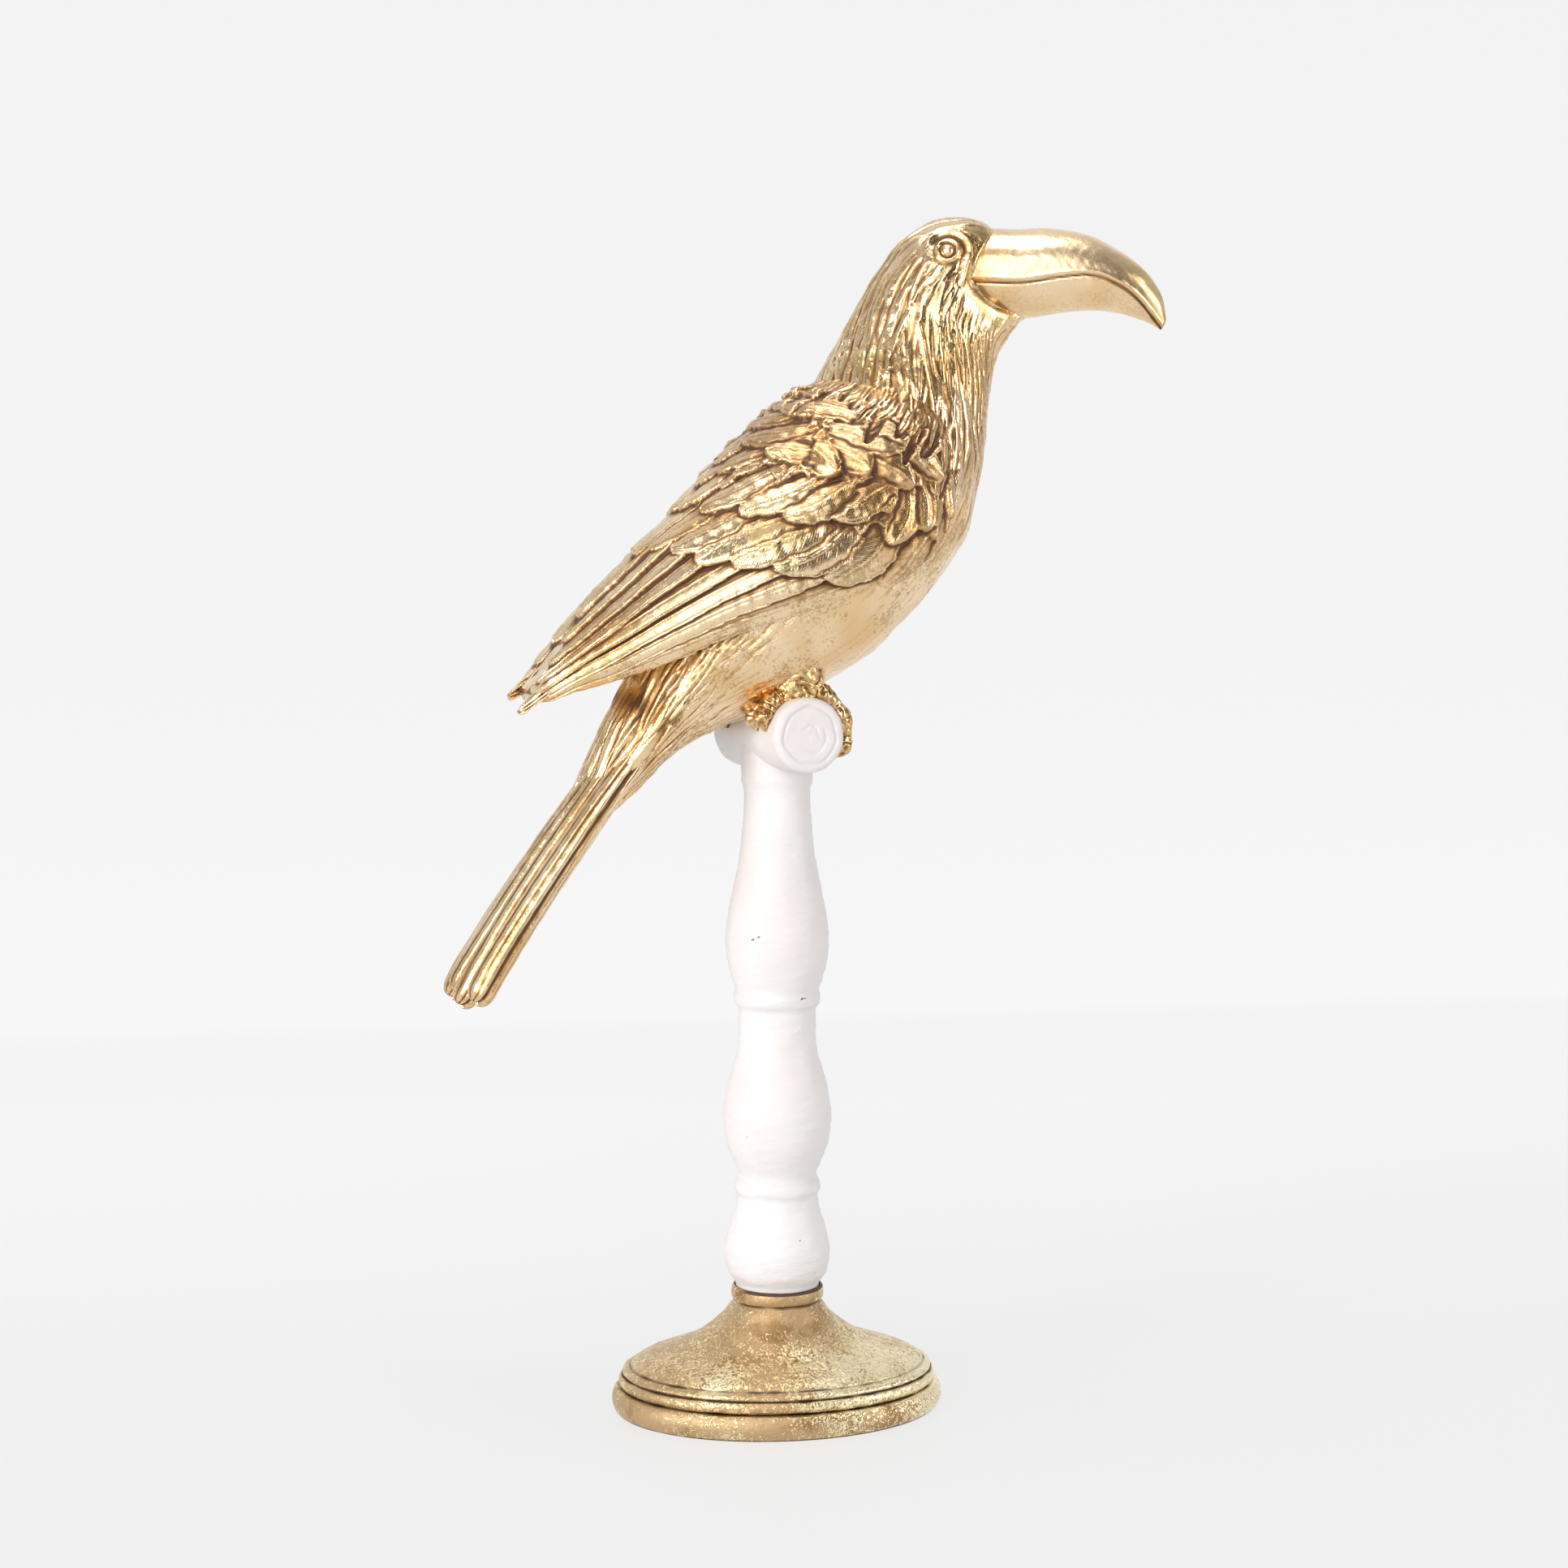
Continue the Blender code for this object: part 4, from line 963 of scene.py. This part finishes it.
def wing_tip(name, tip, rows=70, columns=44):
    """Longest quill of one wing, a flat blade that runs out of the folded wing."""
    hand = math.copysign(1, tip[1])
    run = np.linspace(0, 1, rows)[:, None]
    line = ((-58, hand * 21, 36), (-76, hand * 15, 24), tip)
    x, y, z = spline(line, run[:, 0] * 2).T[:, :, None]
    blunt = np.sqrt(np.maximum(1 - np.maximum((run - 0.8) / 0.2, 0) ** 2.2, 0.03))
    wide = BLADE_HALF * blunt * (1 - 0.35 * run)
    thick = BLADE_THICK * (0.5 + 0.5 * blunt)
    angle = turns(columns, -math.pi)[None, :]
    points = xyz(x + 0.45 * wide * np.cos(angle),
                 y + thick * np.sin(angle) - hand * 0.15 * wide * np.cos(angle),
                 z + 0.85 * wide * np.cos(angle))
    height = to_tip(0.3 * np.sin(angle * 9) * np.abs(np.sin(angle)) + 0.15 * wobble(points, 5, seed=71))
    bird_piece(name, closed_tip(points), height)


wing_tip("near_wing_tip", (-94.5, -8.5, 9))
wing_tip("far_wing_tip", (-94, 8.5, 14))

# %% [markdown]
# ## Legs and toes
# Short feathered thighs go straight into scaly feet. Two toes of each foot bend over the front of
# the log and two over its back, with ring-like scales and a blunt claw at each end.

# %% Feet
FOOT_SPREAD = 16.5
TOE_RADIUS = 3.5
TOE_APART = {-1: 2.4, 1: 4.8}
FRONT_TOE = (math.radians(100), math.radians(-38))
REAR_TOE = (math.radians(80), math.radians(174))
TOE_SCALES = 11
THIGH_RADII = (10.5, 8.4)
DRAWN_LOG = LOG_RADIUS / MILLIMETRE


def swept_tube(path, radii, columns):
    """Round grid along a path, each ring square to it."""
    angle = turns(columns)[:, None]
    side = np.array([0.0, 1.0, 0.0])
    rings = []
    for point, direction, radius in zip(path, directions(path), radii):
        across = side - direction * side.dot(direction)
        across /= np.linalg.norm(across)
        other = np.cross(direction, across)
        rings.append(point + radius * (np.cos(angle) * across + np.sin(angle) * other))
    return np.array(rings)


def toe(name, middle, bend, radius, seed, rows=98, columns=32):
    """One toe bent round the log, with a ring scale at every step and a claw at its end."""
    run = np.linspace(0, 1, rows)
    angle = bend[0] + (bend[1] - bend[0]) * run
    scale = (run * TOE_SCALES + 0.35 * np.sin(run * 11 + seed)) % 1
    uneven = 0.6 + 0.4 * np.sin(run * 23 + seed * 2)
    ring = np.where(run < 0.85, (0.26 * scale**1.5 - 0.26 * bell(scale, 0.14)) * uneven, 0)
    crumpled = 0.12 + 0.16 * smoothstep(0.45, 0.15, run)
    thick = radius * (1 + 0.08 * np.cos(run * 7 * math.pi)) * (1 - 0.7 * smoothstep(0.8, 1, run))
    reach = DRAWN_LOG + thick * 0.72
    path = xyz(reach * np.cos(angle), middle + 0.4 * np.sin(run * 5 + seed), reach * np.sin(angle))
    points = swept_tube(path, thick, columns)
    height = ring[:, None] + crumpled[:, None] * wobble(points, 1.8, seed)
    height = to_tip(height + 0.25 * wobble(points, 6, seed + 1), "constant")
    hollow = np.clip(hollows(height, narrow=3) + 0.14, 0, 1)
    bird_piece(name, closed_tip(points), height, scale_gold, hollow, turn=LOG_TURN)


def thigh(name, middle, seed, rows=60, columns=90):
    """Feathered thigh, wide at the belly and drawn in to the foot."""
    line = ((0, middle, 28), (0, middle, 20), (-0.5, middle, DRAWN_LOG + 3), (-1, middle, DRAWN_LOG - 2))
    stations = np.linspace(0, 3, rows)
    points = swept_tube(spline(line, stations), np.linspace(*THIGH_RADII, rows), columns)
    chart = Chart(points, stations, np.arange(columns) / columns)
    dice = np.random.default_rng(seed)
    for station in np.linspace(2.2, 0.2, 9):
        for share in np.arange(0, 1, 0.075):
            start = share + dice.uniform(-0.03, 0.03)
            chart.lay((station, start), (station + 0.9, start + dice.uniform(-0.03, 0.03)), 2.1,
                      lock_section(0.9 * dice.uniform(0.6, 1.2), 2, dice.uniform()))
    height = soften(chart.height, 1) + 0.15 * wobble(points, 3, seed)
    bird_piece(name, points, height, grain=chart.grain, turn=LOG_TURN)


for hand, label in ((-1, "near"), (1, "far")):
    middle = hand * FOOT_SPREAD
    thigh(f"{label}_thigh", middle, seed=80 + hand)
    for step, side in ((-1, "inner"), (1, "outer")):
        place = middle + step * hand * TOE_APART[step]
        toe(f"{label}_{side}_front_toe", place, FRONT_TOE, TOE_RADIUS, seed=90 + step + 5 * hand)
        toe(f"{label}_{side}_rear_toe", place * 0.97, REAR_TOE, TOE_RADIUS * 0.92, seed=110 + step + 5 * hand)

# %% [markdown]
# ## White brushed paint
# The column is brushed white by hand over a gold ground. Broad strokes run round it, a faint pink
# comes through in places, and small nicks show the dark ground.

# %% White paint
PAINT_WHITE = (0.725, 0.705, 0.71)
PAINT_PINK = (0.725, 0.66, 0.655)
PAINT_GREY = (0.64, 0.64, 0.64)
GROUND = (0.10, 0.07, 0.045)


def brushed_white(name, stretch):
    """White paint with strokes that run across the stretched direction."""
    r = Recipe(name)
    cloud = r.noise(0.030, 2)
    strokes = r.noise(0.004, 5, 0.7, stretch)
    dabs = r.noise(0.0022)
    hollow = r.value("hollow")
    nick = r.value("grain")
    colour = r.mix(cloud.step(0.42, 0.64) * 0.85, PAINT_WHITE, PAINT_PINK)
    colour = r.mix(strokes.step(0.55, 0.80) * 0.30, colour, PAINT_GREY)
    # Greyer where the hollow value is high: painted shade along the column's rings, and grey in the log's
    # scratched end rings
    colour = r.mix(hollow * 0.55, colour, PAINT_GREY)
    colour = r.mix(nick.step(0.35, 0.60), colour, GROUND)
    return r.finish(Base_Color=colour, Roughness=0.36 + strokes * 0.16,
                    Normal=r.bump(strokes * 0.8 + dabs * 0.35, 0.0003, 0.8))


column_white = brushed_white("brushed white column", (1, 1, 6))
log_white = brushed_white("brushed white log", (4, 1, 4))
print("white paint:", column_white.name, log_white.name)

# %% [markdown]
# ## The turned column and its log
# A turner would cut three swellings parted by thin rings, then a slim neck. As a grid it is one
# outline spun round the axis, with slight strokes of thick paint standing on it. The perch is a
# short log with a ring scratched in each end.

# %% Column
SOCKET_RADIUS = 0.0148
NECK = 0.0116
BELLY = 0.0189
WAIST = 0.0138
RING_RADIUS = 0.0013
RING_HALF = 0.0135
RINGS_AT = (0.197, 0.538)
SEATED = 0.0033 / COLUMN_HEIGHT
COLUMN_ROWS = 200
COLUMN_COLUMNS = 104

# Share of the column's height and its radius there
COLUMN_KNOTS = (
    (0, SOCKET_RADIUS), (SEATED, SOCKET_RADIUS), (0.042, BELLY * 0.94), (0.080, BELLY * 0.99),
    (0.120, BELLY * 0.90), (0.150, WAIST * 1.11), (0.172, WAIST * 1.05), (0.214, WAIST),
    (0.244, WAIST * 1.15), (0.278, BELLY * 0.965), (0.328, BELLY * 1.01), (0.378, BELLY * 0.94),
    (0.410, WAIST * 1.15), (0.444, WAIST * 1.03), (0.485, WAIST * 0.98), (0.540, WAIST * 1.02),
    (0.573, WAIST * 1.15), (0.604, BELLY * 0.925), (0.646, BELLY * 0.965), (0.685, BELLY * 0.925),
    (0.733, BELLY * 0.835), (0.800, NECK * 1.14), (0.868, NECK * 1.035), (0.915, NECK),
    (0.937, NECK * 1.08), (1, LOG_RADIUS * 0.97),
)

# Nicks in the paint: turn round the column in degrees, share of its height, reach in millimetres
COLUMN_NICKS = (
    (-128, 0.655, 1.6), (-121, 0.66, 0.9), (-135, 0.3, 0.7), (-66, 0.545, 1.4), (-60, 0.546, 1),
    (-74, 0.11, 0.8), (-52, 0.045, 1.2), (60, 0.35, 1), (140, 0.62, 1.1),
)

share = np.r_[0.0, SEATED, np.linspace(SEATED, 1, COLUMN_ROWS)[1:]]
knot_numbers = np.interp(share, [knot[0] for knot in COLUMN_KNOTS], np.arange(len(COLUMN_KNOTS)))
smooth = spline(COLUMN_KNOTS, knot_numbers)
radius = np.interp(share, smooth[:, 0], smooth[:, 1])
for place in RINGS_AT:
    radius = radius + RING_RADIUS * np.sqrt(np.clip(1 - ((share - place) / RING_HALF) ** 2, 0, 1))
radius = np.where(share <= SEATED + 1e-6, SOCKET_RADIUS, radius)[:, None]
share = share[:, None]
around = turns(COLUMN_COLUMNS)
column_points = xyz(radius * np.cos(around), radius * np.sin(around), column_low.z + share * COLUMN_HEIGHT)
flat_place = column_points * np.array([1.0, 1.0, 3.0]) * 1000
strokes = unevenness(flat_place, 121, (9, 0.00011), (3, 0.00005))
strokes *= smoothstep(SEATED, 0.03, share)
nicks = np.zeros(strokes.shape)
for turn, height, reach in COLUMN_NICKS:
    off = np.angle(np.exp(1j * (around - math.radians(turn)))) * radius * 1000
    tilt = (share - height) * COLUMN_HEIGHT * 1000 - 0.35 * off
    nicks = np.maximum(nicks, bell(off, reach) * bell(tilt, 0.45))
# Painted shade: a grey line along each edge of the two rings, where they stand off the column
ring_edge_shade = sum(bell(np.abs(share - place) - RING_HALF, 0.003) for place in RINGS_AT)
column = grid_piece("turned_column", raised(column_points, strokes - 0.0002 * nicks), column_white,
                    np.clip(ring_edge_shade, 0, 1), nicks * 0.8)
dress(column, "perch_column")

# %% Perch log
LOG_EDGE = 0.0022
END_RADIUS = LOG_RADIUS - LOG_EDGE
HALF_LENGTH = LOG_LENGTH / 2
SIDE_ROWS = 30
LOG_COLUMNS = 96

# Scratched rings in the log's ends: share of its radius, depth in millimetres and width
END_RINGS = ((0.74, 0.55, 0.030), (0.46, 0.35, 0.030), (0.24, 0.30, 0.035))

face = np.linspace(0.002, 1, 26)[:-1] * END_RADIUS
corner = np.linspace(0, math.pi / 2, 9)
half_radius = np.r_[face, END_RADIUS + LOG_EDGE * np.sin(corner), np.full(SIDE_ROWS, LOG_RADIUS)]
half_place = np.r_[np.full(len(face), HALF_LENGTH), HALF_LENGTH - LOG_EDGE * (1 - np.cos(corner)),
                   np.linspace(HALF_LENGTH - LOG_EDGE, 0, SIDE_ROWS + 1)[1:]]
log_radius = np.r_[half_radius, half_radius[::-1][1:]][:, None]
log_place = np.r_[-half_place, half_place[::-1][1:]][:, None]
turn = turns(LOG_COLUMNS)
log_points = xyz(log_radius * np.cos(turn), log_place, log_radius * np.sin(turn))
on_end = np.abs(log_place) > HALF_LENGTH - 1e-6
from_middle = log_radius / LOG_RADIUS + 0.02 * np.sin(turn * 3 + 1) + 0.015 * np.sin(turn * 7)
rings_cut = (1, smoothstep(0.1, 0.5, np.sin(turn + 2.4)), smoothstep(-0.2, 0.4, np.sin(turn + 0.5)))
scratch = sum(depth * bell(from_middle - place, width) * cut
              for (place, depth, width), cut in zip(END_RINGS, rings_cut))
log_height = unevenness(log_points * 1000, 131, (6, 0.1), (3.5, 0.02)) - scratch * on_end
log_surface = placed(raised(log_points, log_height / 1000), LOG_TURN, unit=1)
log = grid_piece("perch_log", log_surface, log_white, scratch * on_end * 0.8)
dress(log, "perch_column")

# %% [markdown]
# ## Flaked gilding of the foot
# The foot wears a coarser gilding: pale flakes scattered over a taupe ground, bare brown in the
# grooves between the mouldings. Two noises of different size decide where flakes stick.

# %% Foot gilding
FLAKE = (1.0, 0.88, 0.58)
FLAKE_DEEP = (0.96, 0.74, 0.40)
TAUPE = (0.50, 0.335, 0.17)
AMBER = (0.27, 0.13, 0.035)
GROOVE_BROWN = (0.07, 0.028, 0.010)


def flaked_gilding(name):
    """Pale flakes over a taupe ground, fewer where the grain value says that it is plain."""
    r = Recipe(name)
    hollow = r.value("hollow")
    cover = r.noise(0.022, 2)
    plain = r.value("grain")
    flake = r.node("ShaderNodeTexNoise", None, {"Vector": r.place, "Scale": 560, "Detail": 4,
                                                "Roughness": 0.65, "Distortion": 2})
    dust = r.noise(0.0006, 2, 0.7)
    bare = (flake + (cover - 0.5) * 0.55 - plain * 0.07).step(0.455, 0.505)
    ground = r.mix(r.noise(0.009, 2).step(0.50, 0.68) * 0.75, TAUPE, AMBER)
    gold = r.mix(cover.step(0.4, 0.65), FLAKE_DEEP, FLAKE)
    colour = r.mix(bare, ground, gold)
    colour = r.mix(dust.step(0.60, 0.72) * 0.3, colour, FLAKE)
    # Dark brown in the grooves, which also carries the painted shade of the collar's gap
    colour = r.mix(hollow.step(0.08, 0.55) * 0.96, colour, GROOVE_BROWN)
    rough = 0.36 - bare * 0.14 + hollow * 0.2 + (dust - 0.5) * 0.1
    return r.finish(Base_Color=colour, Metallic=0.70 + bare * 0.3 - hollow * 0.5, Roughness=rough,
                    Normal=r.bump(flake * 1.2 + dust * 0.4 + bare * 0.6, 0.00022, 0.9))


foot_gold = flaked_gilding("flaked gilding")
print("foot gilding:", foot_gold.name)

# %% [markdown]
# ## The oval foot
# The mouldings are one outline again, but its rings are ovals that grow round towards the collar:
# a fat lower roll, a groove, two thin rolls, and a hollow sweep up to the collar's bead.

# %% Foot
FOOT_LENGTH = 0.1180
FOOT_DEPTH = 0.0915
ROLL_HEIGHT = 0.0083
ROLL_BULGE = 0.0016
TIER_HEIGHT = 0.0068
TIER_INSET = 0.0036
GROOVE_DEPTH = 0.0016
BEAD_BULGE = 0.0022
BEAD_OUT = 0.0012
TIER_EDGE = 0.0013
FLARE_INSET = 0.0024
FLARE_HEIGHT = 0.0233
COLLAR_HEIGHT = 0.0051
COLLAR_WALL = 0.0013
COLLAR_BULGE = 0.0011
SOCKET_DEPTH = 0.0030
GAP = 0.0003
ROLL_ARC = 1.05
BEAD_ARC = 1.1
COLLAR_ARC = 1.2
FOOT_COLUMNS = 210
COLLAR_SHADE_TURN = math.radians(-70)

# Sweep from the upper roll to the collar: share of its height and share of its reach
SWEEP = ((0, 1), (0.06, 0.97), (0.13, 0.88), (0.2, 0.75), (0.28, 0.6), (0.36, 0.45), (0.46, 0.33),
         (0.6, 0.205), (0.75, 0.09), (0.9, 0.01), (1, -0.045))
SWEEP_RINGS = 44

foot_rings = []
socket = SOCKET_RADIUS + GAP
collar = socket + COLLAR_WALL
tier_top = ROLL_HEIGHT + TIER_HEIGHT
rim = tier_top + FLARE_HEIGHT


def moulding(inset, height, hollow):
    foot_rings.append((FOOT_LENGTH / 2 - inset, FOOT_DEPTH / 2 - inset, height, hollow))


for inset in np.linspace(0.030, 0.0045, 4):
    moulding(inset, 0, 0.6)
for turn in np.linspace(-ROLL_ARC, ROLL_ARC, 18):
    moulding(ROLL_BULGE * (1 - math.cos(turn)) / (1 - math.cos(ROLL_ARC)),
             ROLL_HEIGHT / 2 * (1 + math.sin(turn) / math.sin(ROLL_ARC)), 0.9 * float(turn < -0.9))
for share in np.linspace(0.25, 1, 5):
    moulding(ROLL_BULGE + (TIER_INSET + GROOVE_DEPTH - ROLL_BULGE) * share,
             ROLL_HEIGHT + 0.0002 * share, share)
for turn in np.linspace(-BEAD_ARC, BEAD_ARC, 12):
    moulding(TIER_INSET - BEAD_OUT + BEAD_BULGE * (1 - math.cos(turn)),
             ROLL_HEIGHT + TIER_HEIGHT * (0.36 + 0.34 * math.sin(turn)),
             0.8 * bell(abs(turn) - BEAD_ARC, 0.25))
for turn in np.linspace(-BEAD_ARC, 1.3, 12):
    moulding(TIER_INSET + BEAD_BULGE * (1 - math.cos(turn)), tier_top - TIER_EDGE * (1 - math.sin(turn)),
             0.7 * bell(turn + BEAD_ARC, 0.3))
rim_inset = TIER_INSET + FLARE_INSET
for k, (height, share) in enumerate(spline(SWEEP, np.linspace(0.3, len(SWEEP) - 1, SWEEP_RINGS))):
    long = collar + (FOOT_LENGTH / 2 - rim_inset - collar) * share
    short = collar + (FOOT_DEPTH / 2 - rim_inset - collar) * share
    edges = 0.5 * bell(k, 2.5) + 0.6 * bell(SWEEP_RINGS - 1 - k, 1.5)
    foot_rings.append((long, short, tier_top + FLARE_HEIGHT * height, edges))
for turn in np.linspace(-COLLAR_ARC, 1.4, 14):
    wide = collar - COLLAR_BULGE * (1 - math.cos(turn))
    height = rim + COLLAR_HEIGHT * (0.5 + 0.5 * math.sin(turn))
    foot_rings.append((wide, wide, height, 0.8 * bell(turn + COLLAR_ARC, 0.2)))
for depth in np.linspace(0, SOCKET_DEPTH, 4):
    foot_rings.append((socket, socket, rim + COLLAR_HEIGHT - depth, 1.0))
print("foot rings:", len(foot_rings))

# %% Foot as a grid
long, short, height, foot_grooves_and_shade = np.array(foot_rings).T[:, :, None]
around = turns(FOOT_COLUMNS)
foot_points = xyz(long * np.cos(around), short * np.sin(around), height)
drawn_foot = foot_points * 1000
uneven = unevenness(drawn_foot, 141, (14, 0.0001), (4, 0.00005))
uneven *= smoothstep(0.0002, 0.003, foot_points[..., 2])
# Painted shade: dark brown on the top of the collar towards the front right, for the dark gap where the
# column stands in it
collar_gap_shade = smoothstep(0, 0.6, np.cos(around - COLLAR_SHADE_TURN)) * (height > rim + COLLAR_HEIGHT * 0.8)
foot_grooves_and_shade = foot_grooves_and_shade * (0.75 + 0.25 * wobble(drawn_foot, 8, seed=143)) + 0.9 * collar_gap_shade
plain = smoothstep(0.026, 0.033, height) + 0.7 * smoothstep(ROLL_HEIGHT, ROLL_HEIGHT - 0.001, height)
foot = grid_piece("oval_foot", raised(foot_points, uneven), foot_gold, np.clip(foot_grooves_and_shade, 0, 1), plain)
dress(foot, "oval_base")

# %% [markdown]
# ## Floor, camera and light
# A plain pale sweep stands under and behind the statue. The camera looks from the photograph's
# place. Gold shows only what it mirrors, so the light is a pale room with one darker side, and
# broad soft lamps in front, on the left and overhead.

# %% Floor
FLOOR_NEAR = (0.08, 0.08, 0.08)
FLOOR_FAR = (0.015, 0.015, 0.015)
GLOW_NEAR = (0.745, 0.745, 0.745)
GLOW_FAR = (0.882, 0.882, 0.882)
FLOOR_REACH = 2.6
FLOOR_FRONT = -1.6
FLOOR_DEPTH = 0.8
SWEEP_RADIUS = 2.6
WALL_TOP = 3.6

r = Recipe("pale floor")
depth = r.node("ShaderNodeSeparateXYZ", None, {0: r.place}, out="Y")
glow = r.mix(depth.step(0.0, 0.65), GLOW_NEAR, GLOW_FAR)
pale = r.mix(depth.step(0.1, 0.75), FLOOR_NEAR, FLOOR_FAR)
floor_paint = r.finish(Base_Color=pale, Roughness=0.65, Specular_IOR_Level=0.1, Emission_Color=glow,
                       Emission_Strength=1)
bend = np.linspace(0, math.pi / 2, 40)
wall = FLOOR_DEPTH + SWEEP_RADIUS
floor_y = np.r_[FLOOR_FRONT, 0, FLOOR_DEPTH, FLOOR_DEPTH + SWEEP_RADIUS * np.sin(bend), wall]
floor_z = np.r_[0, 0, 0, SWEEP_RADIUS * (1 - np.cos(bend)), WALL_TOP]
floor_points = xyz(np.linspace(-FLOOR_REACH, FLOOR_REACH, 5), floor_y[:, None], floor_z[:, None])
floor = grid_piece("floor", floor_points, floor_paint, closed=False)

# %% Camera
CAMERA_PLACE = (-0.1640, -0.8981, 0.2774)
CAMERA_TILT = 86.5
CAMERA_TURN = -10.5
CAMERA_LENS = 59.63


def stand(name, data, place, angles):
    """A camera or a lamp in the scene."""
    item = bpy.data.objects.new(name, data)
    item.location = place
    item.rotation_euler = angles
    bpy.context.collection.objects.link(item)
    return item


camera_data = bpy.data.cameras.new("camera")
camera_data.lens = CAMERA_LENS
camera_data.sensor_width = 36
angles = (math.radians(CAMERA_TILT), 0, math.radians(CAMERA_TURN))
bpy.context.scene.camera = stand("camera", camera_data, CAMERA_PLACE, angles)
bpy.context.scene.view_settings.view_transform = "Standard"
print("camera at", CAMERA_PLACE, "with a lens of", CAMERA_LENS, "mm")

# %% Lights
# Each lamp: its place in metres, its width and height, and its power in watts
LAMPS = {
    "left_panel": ((-1.15, -0.70, 0.70), (0.45, 0.60), 10),
    "low_left_panel": ((-1.10, -0.75, 0.10), (0.60, 0.18), 3.5),
    "front_panel": ((-0.35, -1.30, 0.72), (0.85, 1.25), 10),
    "overhead_panel": ((-0.1, -0.10, 1.45), (0.8, 0.5), 7.5),
    "right_panel": ((1.20, -0.65, 0.55), (0.30, 0.9), 6.5),
}
TARGET = (0, 0, 0.26)

for name, (place, size, power) in LAMPS.items():
    lamp = bpy.data.lights.new(name, "AREA")
    lamp.shape = "RECTANGLE"
    lamp.size, lamp.size_y = size
    lamp.energy = power
    way = np.array(TARGET) - np.array(place)
    tilt = math.acos(-way[2] / np.linalg.norm(way))
    stand(name, lamp, place, (tilt, 0, math.atan2(way[1], way[0]) - math.pi / 2))
print("lamps:", list(LAMPS))

# %% Room
ROOM_BRIGHT = (0.95, 0.95, 0.96)
ROOM_DIM = (0.10, 0.09, 0.075)
ROOM_STRENGTH = 0.9

room = Recipe("pale room", "worlds", "Background", "Generated")
facing = room.node("ShaderNodeSeparateXYZ", None, {0: room.place}, out="Y")
dimmed = room.node("ShaderNodeMapRange", None, {"Value": facing, "From Min": 0.8, "From Max": -0.7})
room_light = room.mix(dimmed, ROOM_BRIGHT, ROOM_DIM)
bpy.context.scene.world = room.finish(Color=room_light, Strength=ROOM_STRENGTH)
print("room:", bpy.context.scene.world.name)
